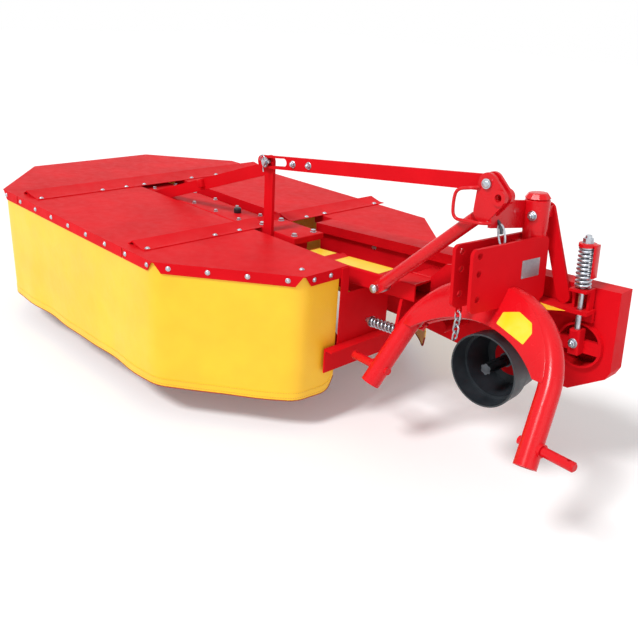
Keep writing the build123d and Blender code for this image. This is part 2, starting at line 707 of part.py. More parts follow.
# Kingpin, upper sleeve and lugs
king_foot = head_top - HEAD_THICK - KING_HEAD_THICK
arm["kingpin"] = (rod_z(KING_X, KING_Y, KING_R, king_foot, SLEEVE_TOP)
                  + rod_z(KING_X, KING_Y, KING_R + KING_HEAD_RIM, king_foot, head_top - HEAD_THICK))
sleeve = rod_z(KING_X, KING_Y, SLEEVE_R, SLEEVE_BOTTOM, SLEEVE_TOP)
cap = rod_z(KING_X, KING_Y, SLEEVE_R, SLEEVE_TOP, SLEEVE_TOP + CAP_THICK)
cap = chamfer(cap.edges().group_by(Axis.Z)[-1], CAP_CHAMFER)
web_front = BAR_FRONT - LUG_THICK
web_top = SLEEVE_TOP + WEB_TOP_RISE
web = outline((web_front, SLEEVE_BOTTOM + WEB_FOOT_RISE), (KING_Y, SLEEVE_BOTTOM), (KING_Y, SLEEVE_TOP),
              (BAR_BACK, web_top), (web_front, web_top))
strut_front = KING_Y + SLEEVE_R + HEAD_THICK
boss = box(KING_X - BOSS_LEFT, KING_X + BOSS_RIGHT, KING_Y, strut_front,
           SLEEVE_BOTTOM + BOSS_FOOT_RISE, SLEEVE_TOP - BOSS_TOP_DROP)
bracket = sleeve + cap + boss + sideways(web, LUG_X + LUG_THICK, LUG_X + 2 * LUG_THICK)
bracket -= rod_z(KING_X, KING_Y, KING_R + RUNNING_GAP, 0, SLEEVE_TOP)
lug_shape = Pos(LUG_X, LUG_Z) * Circle(LUG_R) + Pos(LUG_X - LUG_TAIL, SLEEVE_TOP - LUG_TAIL) * Circle(LUG_R)
lug_shape += Pos(LUG_X + LUG_HOLE_ASIDE, LUG_Z - LUG_HOLE_DROP) * Circle(LUG_EYE_R)
lug = make_hull(lug_shape.edges()) - Pos(LUG_X, LUG_Z) * Circle(LUG_PIN_R + RUNNING_GAP)
lug -= Pos(LUG_X + LUG_HOLE_ASIDE, LUG_Z - LUG_HOLE_DROP) * Circle(LUG_PIN_R)
bracket += upright(lug, BAR_FRONT - SIDE_GAP - LUG_THICK, BAR_FRONT - SIDE_GAP)
bracket += upright(lug, BAR_BACK + SIDE_GAP, BAR_BACK + SIDE_GAP + LUG_THICK)
lug_front = BAR_FRONT - SIDE_GAP - LUG_THICK
lug_back = BAR_BACK + SIDE_GAP + LUG_THICK
for boss_front, boss_back in ((lug_front - EYE_BOSS, lug_front), (lug_back, lug_back + EYE_BOSS)):
    eye = Pos(LUG_X + LUG_HOLE_ASIDE, LUG_Z - LUG_HOLE_DROP) * (Circle(LUG_EYE_R) - Circle(LUG_PIN_R))
    bracket += upright(eye, boss_front, boss_back)
arm["upper_bracket"] = bracket
lug_pin = (rod_y(LUG_X, LUG_Z, LUG_PIN_R, lug_front, lug_back + LUG_PIN_PROUD)
           + rod_y(LUG_X, LUG_Z, LUG_PIN_R + LUG_PIN_RIM, lug_front - LUG_PIN_HEAD, lug_front))

# Diagonal tube from the lugs down to a pin on the arm's front
foot = (TUBE_FOOT_X, BAR_MIDDLE, TUBE_FOOT_Z)
knee = Vector(LUG_X - LUG_TAIL, BAR_MIDDLE, SLEEVE_TOP - LUG_TAIL)
tube_line = Line(foot, knee)
tube_start = tube_line @ TUBE_START_SHARE
tube_end = tube_line @ (1 - LUG_R / tube_line.length - TUBE_END_SHARE)
diagonal = rod_between(tube_start, tube_end, TUBE_R)
tab = flat_bar((TUBE_FOOT_X, TUBE_FOOT_Z), (tube_start.X, tube_start.Z), 2 * TUBE_R)
diagonal += upright(tab, BAR_FRONT, BAR_BACK)
diagonal -= rod_y(TUBE_FOOT_X, TUBE_FOOT_Z, LUG_PIN_R + RUNNING_GAP,
                  BAR_FRONT - TUBE_BORE_REACH, ARM_FRONT)
arm["diagonal_tube"] = diagonal
tube_pin = (rod_y(TUBE_FOOT_X, TUBE_FOOT_Z, LUG_PIN_R, BAR_FRONT - TUBE_PIN_PROUD, ARM_FRONT)
            + rod_y(TUBE_FOOT_X, TUBE_FOOT_Z, LUG_PIN_R + TUBE_PIN_RIM, BAR_BACK + SEAT_GAP, ARM_FRONT))

arm["arm_pins"] = Compound([hinge_pin, lug_pin, tube_pin])

# Bent rod handle on the lugs
reach = lug_front - HANDLE_REACH
web_x = LUG_X + 1.5 * LUG_THICK
handle_end = SLEEVE_BOTTOM + HANDLE_END_RISE
handle_points = [(LUG_X - HANDLE_TOP[0], lug_front, LUG_Z - HANDLE_TOP[1]),
                 (LUG_X - HANDLE_TURN[0], reach, LUG_Z - HANDLE_TURN[1]),
                 (LUG_X - HANDLE_KNEE[0], reach, LUG_Z - HANDLE_KNEE[1]),
                 (LUG_X - HANDLE_KNEE[0], reach, LUG_Z - HANDLE_FOOT_DROP),
                 (web_x - HANDLE_END_SETBACK, reach, handle_end), (web_x, web_front, handle_end)]
handle_path = FilletPolyline(*handle_points, radius=HANDLE_BEND)
handle_start = Plane(origin=handle_path @ 0, z_dir=handle_path % 0)
arm["handle_rod"] = sweep(handle_start * Circle(HANDLE_R), handle_path) - bracket

# Strut from the upper sleeve to the head's right end
strut = flat_bar((KING_X + STRUT_ASIDE, SLEEVE_TOP - STRUT_DROP), (STRUT_FOOT_X, head_top + STRUT_WIDTH / 2),
                 STRUT_WIDTH)
arm["strut"] = upright(strut, strut_front, strut_front + STRUT_THICK)

# Belt guard: a shallow tray with its back plate
guard_foot = PTO_Z - GUARD_FOOT_DROP
guard_shape = outline((GUARD_LEFT, GUARD_TOP), (GUARD_RIGHT, GUARD_TOP),
                      (GUARD_RIGHT, PTO_Z - GUARD_EDGE_DROP),
                      (GUARD_RIGHT - GUARD_CORNER[0], PTO_Z - GUARD_CORNER[1]),
                      (GUARD_RIGHT - GUARD_FOOT_RIGHT, guard_foot), (PTO_X - GUARD_FOOT_LEFT, guard_foot),
                      (TILT_X + GUARD_WAIST[0], TILT_Z - GUARD_WAIST[1]),
                      (GUARD_LEFT, TILT_Z - GUARD_TAIL_DROP))
guard_inside = offset(guard_shape, -GUARD_SHEET, kind=Kind.INTERSECTION)
arm["belt_guard"] = (upright(guard_shape, GUARD_FRONT, GUARD_BACK)
                     - upright(guard_inside, GUARD_FRONT + GUARD_SHEET, GUARD_BACK))
lip_profile = outline((GUARD_FRONT, GUARD_TOP), (GUARD_FRONT - GUARD_LIP_DEPTH, GUARD_TOP),
                      (GUARD_FRONT - GUARD_LIP_DEPTH, GUARD_TOP - GUARD_LIP),
                      (GUARD_FRONT - GUARD_LIP_DEPTH + GUARD_SHEET, GUARD_TOP - GUARD_LIP),
                      (GUARD_FRONT - GUARD_LIP_DEPTH + GUARD_SHEET, GUARD_TOP - GUARD_SHEET),
                      (GUARD_FRONT, GUARD_TOP - GUARD_SHEET))
arm["belt_guard"] += sideways(lip_profile, GUARD_LEFT, GUARD_LIP_END)
arm["belt_guard"] -= rod_y(TENSION_X, IDLER_Z, IDLER_R, GUARD_FRONT, GUARD_FRONT + GUARD_SHEET)
back_cover = offset(guard_shape, -GUARD_SHEET - SEAT_GAP, kind=Kind.INTERSECTION)
arm["belt_guard_back"] = upright(back_cover, GUARD_BACK - 2 * GUARD_SHEET, GUARD_BACK - GUARD_SHEET)

# Input shaft in its housing, with the round guard cup
housing_front = CUP_BACK - HOUSING_INSET
housing = rod_y(PTO_X, PTO_Z, HOUSING_R, housing_front, GUARD_FRONT)
housing += rod_y(PTO_X, PTO_Z, HOUSING_FLANGE_R, GUARD_FRONT - HOUSING_FLANGE, GUARD_FRONT)
housing -= rod_y(PTO_X, PTO_Z, SHAFT_R + RUNNING_GAP, housing_front, GUARD_FRONT - HOUSING_WALL)
arm["shaft_housing"] = housing
cup_profile = outline((HOUSING_R + SEAT_GAP, CUP_BACK), (CUP_BACK_R, CUP_BACK), (CUP_STEP_R, CUP_STEP),
                      (CUP_MOUTH_R - CUP_WALL / 2, CUP_STEP), (CUP_MOUTH_R, CUP_MOUTH),
                      (CUP_MOUTH_R - CUP_WALL, CUP_MOUTH),
                      (CUP_MOUTH_R - 1.5 * CUP_WALL, CUP_STEP - CUP_WALL),
                      (CUP_STEP_R - CUP_WALL, CUP_STEP - CUP_WALL),
                      (CUP_BACK_R - CUP_WALL, CUP_BACK - CUP_WALL),
                      (HOUSING_R + SEAT_GAP, CUP_BACK - CUP_WALL))
cup = revolve(cup_profile, Axis.Y)
arm["pto_cup"] = Pos(PTO_X, 0, PTO_Z) * cup
spline_end = CUP_BACK - SPLINE_SETBACK
shaft = rod_y(0, 0, SPLINE_R, SHAFT_TIP, spline_end)
for i in range(SPLINE_COUNT):
    groove = box(SPLINE_R - SPLINE_DEPTH, SPLINE_R + GROOVE_PROUD, SHAFT_TIP, CUP_BACK - GROOVE_SETBACK,
                 -SPLINE_WIDTH / 2, SPLINE_WIDTH / 2)
    shaft -= Rot(0, i * 360 / SPLINE_COUNT, 0) * groove
shaft += rod_y(0, 0, SHAFT_R, spline_end, GUARD_FRONT - SHAFT_END_GAP)
input_shaft = {"input_shaft": Pos(PTO_X, 0, PTO_Z) * shaft}

# Belt tensioner: spring on a rod, its base, and the idler's ring on the guard
spring_top = SPRING_BASE + SPRING_HEIGHT
spring = Pos(TENSION_X, TENSION_Y, SPRING_BASE + SPRING_WIRE_R) * coil(
    SPRING_R, SPRING_WIRE_R, SPRING_HEIGHT - 2 * SPRING_WIRE_R, SPRING_COILS)
arm["tensioner_spring"] = spring
half = SPRING_R + BASE_RIM
seat_foot = SPRING_BASE - BASE_SHEET
base = box(TENSION_X - half, TENSION_X + half, TENSION_Y - half, HEAD_BACK, seat_foot, SPRING_BASE)
base += box(TENSION_X - half, TENSION_X - half + BASE_SHEET, TENSION_Y, HEAD_BACK, head_top, seat_foot)
base += box(TENSION_X + half - BASE_SHEET, TENSION_X + half, TENSION_Y, HEAD_BACK, head_top, seat_foot)
base -= rod_z(TENSION_X, TENSION_Y, ROD_R + ROD_PLAY, head_top, SPRING_BASE)
arm["tensioner_base"] = base
rod_foot = IDLER_Z + IDLER_R - 2 * COLLAR_WALL
rod = rod_z(TENSION_X, TENSION_Y, ROD_R, rod_foot, spring_top + ROD_PROUD)
washer_top = spring_top + WASHER_THICK
rod += rod_z(TENSION_X, TENSION_Y, SPRING_R + WASHER_RIM, spring_top, washer_top)
rod += rod_z(TENSION_X, TENSION_Y, ROD_R + NUT_RIM, washer_top, spring_top + NUT_TOP)
gauge_x = TENSION_X + SPRING_R + 2 * SPRING_WIRE_R
rod += box(TENSION_X, gauge_x + GAUGE_THICK, TENSION_Y - GAUGE_WIDTH / 2, TENSION_Y + GAUGE_WIDTH / 2,
           washer_top - GAUGE_THICK, washer_top) - rod_z(TENSION_X, TENSION_Y, ROD_R, spring_top, washer_top)
rod += box(gauge_x, gauge_x + GAUGE_THICK, TENSION_Y - GAUGE_WIDTH / 2, TENSION_Y + GAUGE_WIDTH / 2,
           spring_top - GAUGE_DROP, washer_top)
arm["tensioner_rod"] = rod
collar = Pos(TENSION_X, IDLER_Z) * (Circle(IDLER_R) - Circle(IDLER_R - COLLAR_WALL))
lever = Pos(TENSION_X, IDLER_Z) * Rectangle(2 * IDLER_R - COLLAR_WALL, LEVER_HEIGHT)
arm["idler_ring"] = (upright(collar, GUARD_FRONT - COLLAR_PROUD, GUARD_FRONT + COLLAR_DEPTH)
                     + upright(lever, GUARD_FRONT - COLLAR_PROUD, GUARD_FRONT))
clevis = box(TENSION_X - CLEVIS_HALF, TENSION_X + CLEVIS_HALF, TENSION_Y - CLEVIS_HALF,
             GUARD_FRONT - COLLAR_PROUD, IDLER_Z - LEVER_HEIGHT / 2, rod_foot)
arm["tensioner_clevis"] = chamfer(clevis.edges().group_by(Axis.Y)[0], CLEVIS_CHAMFER)

# Breakaway latch below the arm
latch_foot = LATCH_Z - LATCH_PLATE_DROP
latch_edge = LATCH_Y - LATCH_PLATE_LEFT
latch_plate = outline((ARM_FRONT, ARM_BOTTOM), (ARM_BACK, ARM_BOTTOM),
                      (LATCH_Y + LATCH_PLATE_RIGHT, latch_foot),
                      (latch_edge, latch_foot), (latch_edge, LATCH_Z + LATCH_PLATE_RISE))
plate = sideways(latch_plate, LATCH_PLATE_X, LATCH_PLATE_X + HEAD_THICK)
plate -= rod_x(LATCH_Y, LATCH_Z, ROD_R + RUNNING_GAP, LATCH_PLATE_X, LATCH_PLATE_X + HEAD_THICK)
arm["latch_plate"] = plate
latch_rod = rod_x(LATCH_Y, LATCH_Z, ROD_R, LATCH_LEFT, LATCH_PLATE_X + LATCH_ROD_PROUD)
spring_left = LATCH_PLATE_X - LATCH_SPRING_LENGTH
latch_rod += rod_x(LATCH_Y, LATCH_Z, LATCH_SPRING_R + WASHER_RIM, spring_left - LATCH_WASHER, spring_left)
arm["latch_rod"] = latch_rod
latch_coil = coil(LATCH_SPRING_R, SPRING_WIRE_R, LATCH_SPRING_LENGTH - 2 * SPRING_WIRE_R, LATCH_COILS)
arm["latch_spring"] = Pos(spring_left + SPRING_WIRE_R, LATCH_Y, LATCH_Z) * Rot(0, 90, 0) * latch_coil
arm["latch_tube"] = (rod_y(LATCH_TUBE_X, LATCH_TUBE_Z, LATCH_TUBE_R, HEAD_FRONT, HEAD_BACK)
                     + box(LATCH_TUBE_X - LATCH_LUG_HALF, LATCH_TUBE_X + LATCH_LUG_HALF,
                           HEAD_BACK - HEAD_THICK, HEAD_BACK, LATCH_TUBE_Z, ARM_BOTTOM))

arm = {name: tilted(shape) for name, shape in arm.items()}
input_shaft = {name: tilted(shape) for name, shape in input_shaft.items()}

# Lift bar, from the lugs on the raised arm to the post's pin, with a slot for the float
lug_rest = tilted(Vertex(LUG_X, BAR_MIDDLE, LUG_Z)).center()
run = Vector(POST_X - lug_rest.X, 0, POST_PIN_Z - lug_rest.Z)
along = run.normalized()
slot_far = Vertex(POST_X, 0, POST_PIN_Z).rotate(TILT_AXIS, -SLOT_RANGE).center()
bar_tip = Vector(POST_X, 0, POST_PIN_Z) + along * (POST_PIN_R + BAR_TIP_MARGIN)
bar = flat_bar((bar_tip.X, bar_tip.Z), (lug_rest.X, lug_rest.Z), LIFT_BAR_HEIGHT)
bar -= flat_bar((POST_X, POST_PIN_Z), (slot_far.X, slot_far.Z), 2 * (POST_PIN_R + SLOT_PLAY))
bar -= Pos(lug_rest.X, lug_rest.Z) * Circle(LUG_PIN_R + RUNNING_GAP)
arm["lift_bar"] = upright(bar, BAR_FRONT, BAR_BACK)

# Hitch yoke: bent tube arch with gussets and pins
yoke = {}
lean = math.radians(ARCH_BACK_LEAN)
arch_plane = Plane(origin=(KING_X, KING_Y - PIN_FORWARD, PIN_Z), x_dir=(1, 0, 0),
                   z_dir=(0, -math.cos(lean), math.sin(lean)))
leg_slope = math.tan(math.radians(LEG_LEAN))
leg_foot = LEG_HALF_SPAN + LEG_BELOW_PIN * leg_slope
leg_head = LEG_HALF_SPAN - ARCH_TOP * leg_slope
arch_line = FilletPolyline((leg_foot, -LEG_BELOW_PIN), (leg_head, ARCH_TOP), (-leg_head, ARCH_TOP),
                           (-leg_foot, -LEG_BELOW_PIN), radius=ARCH_BEND_R)
arch_path = arch_plane * arch_line
section = Plane(origin=arch_path @ 0, z_dir=arch_path % 0)
arch_solid = sweep(section * Circle(ARCH_TUBE_R), arch_path)
arch = arch_solid - sweep(section * Circle(ARCH_TUBE_R - ARCH_WALL), arch_path)
bend_height = ARCH_TOP - ARCH_BEND_R
crescent = Pos(0, bend_height) * Circle(ARCH_BEND_R)
crescent -= Pos(0, bend_height - GUSSET_DROP) * Circle(GUSSET_INNER_R)
crescent -= Pos(0, -ARCH_TOP + bend_height + GUSSET_FOOT) * Rectangle(4 * ARCH_TOP, 2 * ARCH_TOP)
gussets = extrude(arch_plane * crescent, GUSSET_THICK / 2, both=True) - arch_solid

chain_top = Vector(KING_X - (PLATE_GAP + PLATE_THICK) / 2, KING_Y + CHAIN_FORWARD,
                   PLATE_BOTTOM - CHAIN_TAB_DROP)
chain_end = Vector(PTO_X - CHAIN_ASIDE, KING_Y + CHAIN_END_FORWARD, PTO_Z + CUP_MOUTH_R - CHAIN_DROP)
chain_tab = flat_bar((chain_top.Y, chain_top.Z), (chain_top.Y, PLATE_BOTTOM + 2 * CHAIN_TAB_R),
                     2 * CHAIN_TAB_R)
chain_tab -= Pos(chain_top.Y, chain_top.Z) * Circle(CHAIN_HOLE_R)
king_clear = rod_z(KING_X, KING_Y, PIVOT_TUBE_R, 0, SLEEVE_TOP)
plates = []
for side in (-1, 1):
    near = KING_X + side * PLATE_GAP / 2
    far_side = near + side * PLATE_THICK
    plate_face = outline((KING_Y + PLATE_FRONT, PLATE_BOTTOM + PLATE_NOSE_RISE),
                         (KING_Y + PLATE_REAR, PLATE_BOTTOM),
                         (KING_Y + PLATE_REAR, PLATE_TOP), (KING_Y + PLATE_FRONT, PLATE_TOP))
    plate_face = fillet(plate_face.vertices(), PLATE_CORNER)
    for height in TOP_LINK_HEIGHTS:
        plate_face -= Pos(KING_Y + TOP_LINK_FORWARD, height) * Circle(TOP_LINK_R)
    solid = sideways(plate_face, min(near, far_side), max(near, far_side))
    if side < 0:
        solid += sideways(chain_tab, chain_top.X - CHAIN_TAB_THICK / 2, chain_top.X + CHAIN_TAB_THICK / 2)
    plates.append(solid - king_clear - arch_solid)
headstock = Compound(plates)
yoke["headstock_plates"] = headstock
yoke["hitch_gussets"] = gussets - headstock
pins = []
for side in (-1, 1):
    inner = KING_X + side * (PIN_HALF_SPAN - 2 * ARCH_TUBE_R - PIN_STUB)
    seat = KING_X + side * (PIN_HALF_SPAN - PIN_COLLAR)
    shoulder = KING_X + side * (PIN_HALF_SPAN + PIN_COLLAR)
    outer = KING_X + side * (PIN_HALF_SPAN + PIN_LENGTH)
    pin_y = KING_Y - PIN_FORWARD
    wall = shoulder + side * PIN_UNDERCUT
    pin = rod_x(pin_y, PIN_Z, PIN_R, min(wall, outer), max(wall, outer))
    tip = pin.edges().filter_by(GeomType.CIRCLE).sort_by(Axis.X)[0 if side < 0 else -1]
    shank = rod_x(pin_y, PIN_Z, PIN_SHANK_R, min(inner, wall), max(inner, wall))
    shank += rod_x(pin_y, PIN_Z, PIN_COLLAR_R, min(seat, shoulder), max(seat, shoulder))
    arch -= rod_x(pin_y, PIN_Z, PIN_SHANK_R + RUNNING_GAP, min(inner, seat), max(inner, seat))
    arch -= rod_x(pin_y, PIN_Z, PIN_COLLAR_R + RUNNING_GAP, min(seat, outer), max(seat, outer))
    hole_x = outer - side * PIN_HOLE_INSET
    clip_hole = rod_z(hole_x, pin_y, PIN_HOLE_R, PIN_Z - PIN_R, PIN_Z + PIN_R)
    pins.append(chamfer(tip, PIN_CHAMFER) + shank - clip_hole)
yoke["hitch_arch"] = arch
yoke["hitch_pins"] = Compound(pins)
pivot = rod_z(KING_X, KING_Y, PIVOT_TUBE_R, head_top + SEAT_GAP, SLEEVE_BOTTOM - SEAT_GAP)
pivot += box(KING_X - PLATE_GAP / 2, KING_X + PLATE_GAP / 2, KING_Y - 2 * PIVOT_TUBE_R, KING_Y,
             PLATE_TOP - 2 * PLATE_THICK, PLATE_TOP - PLATE_THICK)
yoke["pivot_tube"] = pivot - rod_z(KING_X, KING_Y, KING_R + RUNNING_GAP, 0, SLEEVE_TOP)

# Chain from a hole in the headstock's left plate towards the cup's rim
chain_pull = (chain_end - chain_top).normalized()


def chain_link(index):
    """One link of the chain; every other link is turned a quarter round the chain."""
    half = (CHAIN_PITCH + 2 * CHAIN_WIRE_R + CHAIN_PLAY) / 2
    bend = CHAIN_WIDTH / 2 - CHAIN_WIRE_R
    middle = chain_top + chain_pull * (half + CHAIN_WIRE_R - CHAIN_PLAY + index * CHAIN_PITCH)
    across = Vector(1, 0, 0).cross(chain_pull)
    normal = across if index % 2 == 0 else across.cross(chain_pull)
    link_plane = Plane(origin=middle, x_dir=chain_pull, z_dir=normal)
    loop = link_plane * SlotCenterToCenter(2 * (half - bend), 2 * bend)
    path = loop.wire()
    return sweep(Plane(origin=path @ 0, z_dir=path % 0) * RegularPolygon(CHAIN_WIRE_R, 8), path)


yoke["chain"] = Compound([chain_link(i) for i in range(CHAIN_LINKS)])
yoke = {name: turned(shape) for name, shape in yoke.items()}

bodies = {
    "mower": mower,
    "rotor_inner": rotor_inner,
    "rotor_outer": rotor_outer,
    "skid_inner": skid_inner,
    "skid_outer": skid_outer,
    "arm": arm,
    "input_shaft": input_shaft,
    "yoke": yoke,
}

whole = Compound([shape for nodes in bodies.values() for shape in nodes.values()]).bounding_box()
shift = Vector(-(whole.min.X + whole.max.X) / 2, -(whole.min.Y + whole.max.Y) / 2, -whole.min.Z)
for nodes in bodies.values():
    for name, shape in nodes.items():
        export_step(Pos(*shift) * shape, f"parts/{name}.step")
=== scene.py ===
"""Looks of a two-drum rotary mower on its three-point hitch yoke.

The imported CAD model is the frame. Each class below dresses one sub-assembly: it holds the sizes of
its pieces in millimetres, models them in the machine's own drawing frame, and puts them where the
CAD nodes are. That drawing frame starts on the ground below the middle of the canopy, with +Z up,
the hitch at +X and the direction of travel at -Y.
"""
from __future__ import annotations

import json
import logging
import math
from dataclasses import dataclass
from enum import Enum
from typing import Any, Callable, Optional, Sequence

import bpy
from mathutils import Matrix, Vector

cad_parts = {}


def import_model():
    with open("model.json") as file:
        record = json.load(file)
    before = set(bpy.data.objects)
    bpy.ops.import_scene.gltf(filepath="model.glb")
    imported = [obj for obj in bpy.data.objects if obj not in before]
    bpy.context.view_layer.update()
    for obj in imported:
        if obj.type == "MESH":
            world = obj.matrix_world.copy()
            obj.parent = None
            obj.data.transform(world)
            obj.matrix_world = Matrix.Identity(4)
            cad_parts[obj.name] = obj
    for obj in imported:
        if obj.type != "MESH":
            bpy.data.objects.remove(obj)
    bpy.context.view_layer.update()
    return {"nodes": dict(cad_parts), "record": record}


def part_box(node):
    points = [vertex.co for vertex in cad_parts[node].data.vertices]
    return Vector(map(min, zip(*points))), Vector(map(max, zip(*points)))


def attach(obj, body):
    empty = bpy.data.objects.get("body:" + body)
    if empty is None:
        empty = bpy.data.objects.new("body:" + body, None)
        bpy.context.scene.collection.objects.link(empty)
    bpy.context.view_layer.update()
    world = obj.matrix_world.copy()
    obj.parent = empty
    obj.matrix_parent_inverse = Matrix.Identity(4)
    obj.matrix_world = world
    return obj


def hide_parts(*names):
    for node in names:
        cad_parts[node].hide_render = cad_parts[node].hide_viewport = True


LOG = logging.getLogger("mower_scene")
MM = 0.001

Point = tuple[float, float, float]
Flat = tuple[float, float]
Colour = tuple[float, float, float, float]
Piece = bpy.types.Object
Tree = bpy.types.NodeTree
Node = bpy.types.Node
Socket = bpy.types.NodeSocket

# Ways that fasteners and planes face
FRONT: Point = (0.0, -1.0, 0.0)
RIGHT: Point = (1.0, 0.0, 0.0)
UP: Point = (0.0, 0.0, 1.0)
# Part of a unit normal from which a face counts as looking one way
SQUARE_ON = 0.9
# Turn from one fastener to the next, as wrenches leave them
FASTENER_TURN_DEG = 17.0

# Sockets of the colour mixing node, which has one set for each kind of data
MIX_FACTOR = 0
MIX_A = 6
MIX_B = 7
MIX_RESULT = 2
# Strength of the finer clouds, and the span of the noise that is spread out
NOISE_ROUGHNESS = 0.55
NOISE_LOW = 0.32
NOISE_HIGH = 0.68
# Kinds and settings of nodes that are used often
MATH = "ShaderNodeMath"
TIMES = {"operation": "MULTIPLY"}
LARGER = {"operation": "MAXIMUM"}
COLOURS = {"data_type": "RGBA"}
CLOTH_MAP = "cloth"
# Steps along a curve, steps round the section of a wire and a bead, and their sharp angles
CURVE_STEPS = 6
WIRE_STEPS = 3
BEAD_STEPS = 2
WIRE_SHARP_DEG = 50.0
BEAD_SHARP_DEG = 70.0
WIRE_ORDER = 3
# Part of a bead's radius that is left between two ripples
BEAD_WAIST = 0.8
HEXAGON = 6


class Place(Enum):
    """The three drawing frames: the cutting unit, the level arm and the square yoke."""

    MOWER = "mower"
    ARM = "arm"
    YOKE = "yoke"


class Slot(Enum):
    """Material slots of the record."""

    RED = "red_paint"
    ZINC = "zinc"
    STEEL = "steel"
    DARK = "dark_steel"
    CANVAS = "canvas"
    PLASTIC = "black_plastic"


def linear(hex_colour: str) -> Colour:
    """Turn an sRGB hex colour to linear light.

    Args:
        hex_colour: Colour such as "#D8141E".

    Returns:
        Red, green, blue and an alpha of 1.
    """
    channels = [int(hex_colour[i:i + 2], 16) / 255 for i in (1, 3, 5)]
    bent = [c / 12.92 if c <= 0.04045 else ((c + 0.055) / 1.055) ** 2.4 for c in channels]
    return (bent[0], bent[1], bent[2], 1.0)


def per_metre(size_mm: float) -> float:
    """Pattern scale at which one cell of a texture has this size."""
    return 1.0 / (size_mm * MM)


def add_node(tree: Tree, kind: str, settings: Optional[dict[str, Any]] = None,
             inputs: Optional[dict[Any, Any]] = None) -> Node:
    """Add one node with its settings, input values and links.

    Args:
        tree: Node tree that gets the node.
        kind: Blender's name of the node type.
        settings: Properties to set on the node.
        inputs: Values for its sockets by name or number; an output socket is linked instead, and a
            node stands for its first one.

    Returns:
        The new node.
    """
    node = tree.nodes.new(kind)
    for key, value in (settings or {}).items():
        setattr(node, key, value)
    for key, value in (inputs or {}).items():
        source = value.outputs[0] if isinstance(value, Node) else value
        if isinstance(source, Socket):
            tree.links.new(source, node.inputs[key])
        else:
            node.inputs[key].default_value = source
    return node


@dataclass(frozen=True)
class Finish:
    """A surface finish, which draws its pattern on one principled shader."""

    name: str

    def material(self) -> bpy.types.Material:
        """Make the material once and give it back each time.

        Returns:
            The material of this finish.
        """
        found = bpy.data.materials.get(self.name)
        if found is not None:
            return found
        made = bpy.data.materials.new(self.name)
        made.use_nodes = True
        tree = made.node_tree
        tree.nodes.clear()
        shader = add_node(tree, "ShaderNodeBsdfPrincipled", inputs=self.inputs(tree))
        add_node(tree, "ShaderNodeOutputMaterial", inputs={"Surface": shader})
        return made

    def inputs(self, tree: Tree) -> dict[str, Any]:
        """Draw the pattern; each kind of finish has its own.

        Args:
            tree: Node tree of the material.

        Returns:
            Values, sockets and nodes for the shader.
        """
        raise NotImplementedError

    @staticmethod
    def mottle(tree: Tree, size_mm: float, low: float, high: float, detail: float = 3.0) -> Node:
        """Soft cloudy pattern on object coordinates, spread between two values.

        Args:
            tree: Node tree of the material.
            size_mm: Size of one cloud.
            low: Value in the clouds' gaps.
            high: Value in the clouds' middles.
            detail: Octaves of finer clouds.

        Returns:
            The node that carries the value.
        """
        place = add_node(tree, "ShaderNodeTexCoord").outputs["Object"]
        noise = add_node(tree, "ShaderNodeTexNoise", inputs={
            "Vector": place, "Scale": per_metre(size_mm), "Detail": detail, "Roughness": NOISE_ROUGHNESS})
        return add_node(tree, "ShaderNodeMapRange", inputs={
            "Value": noise, "From Min": NOISE_LOW, "From Max": NOISE_HIGH, "To Min": low, "To Max": high})

    def clouded(self, tree: Tree, size_mm: float, share: float, first: str, second: str) -> Socket:
        """One colour with clouds of another.

        Args:
            tree: Node tree of the material.
            size_mm: Size of one cloud.
            share: Share of the second colour in the clouds' middles.
            first: Hex colour of the ground.
            second: Hex colour of the clouds.

        Returns:
            The socket that carries the colour.
        """
        clouds = self.mottle(tree, size_mm, 0.0, share)
        both = add_node(tree, "ShaderNodeMix", COLOURS,
                        {MIX_FACTOR: clouds, MIX_A: linear(first), MIX_B: linear(second)})
        return both.outputs[MIX_RESULT]

    def grain(self, tree: Tree, size_mm: float, depth_mm: float, strength: float,
              detail: float = 1.0) -> Node:
        """Bumps and hollows of one size.

        Args:
            tree: Node tree of the material.
            size_mm: Size of one bump.
            depth_mm: Real depth of the relief.
            strength: How much of it shows.
            detail: Octaves of finer bumps.

        Returns:
            The node that carries the bent normal.
        """
        height = self.mottle(tree, size_mm, 0.0, 1.0, detail)
        return add_node(tree, "ShaderNodeBump", inputs={
            "Height": height, "Distance": depth_mm * MM, "Strength": strength})


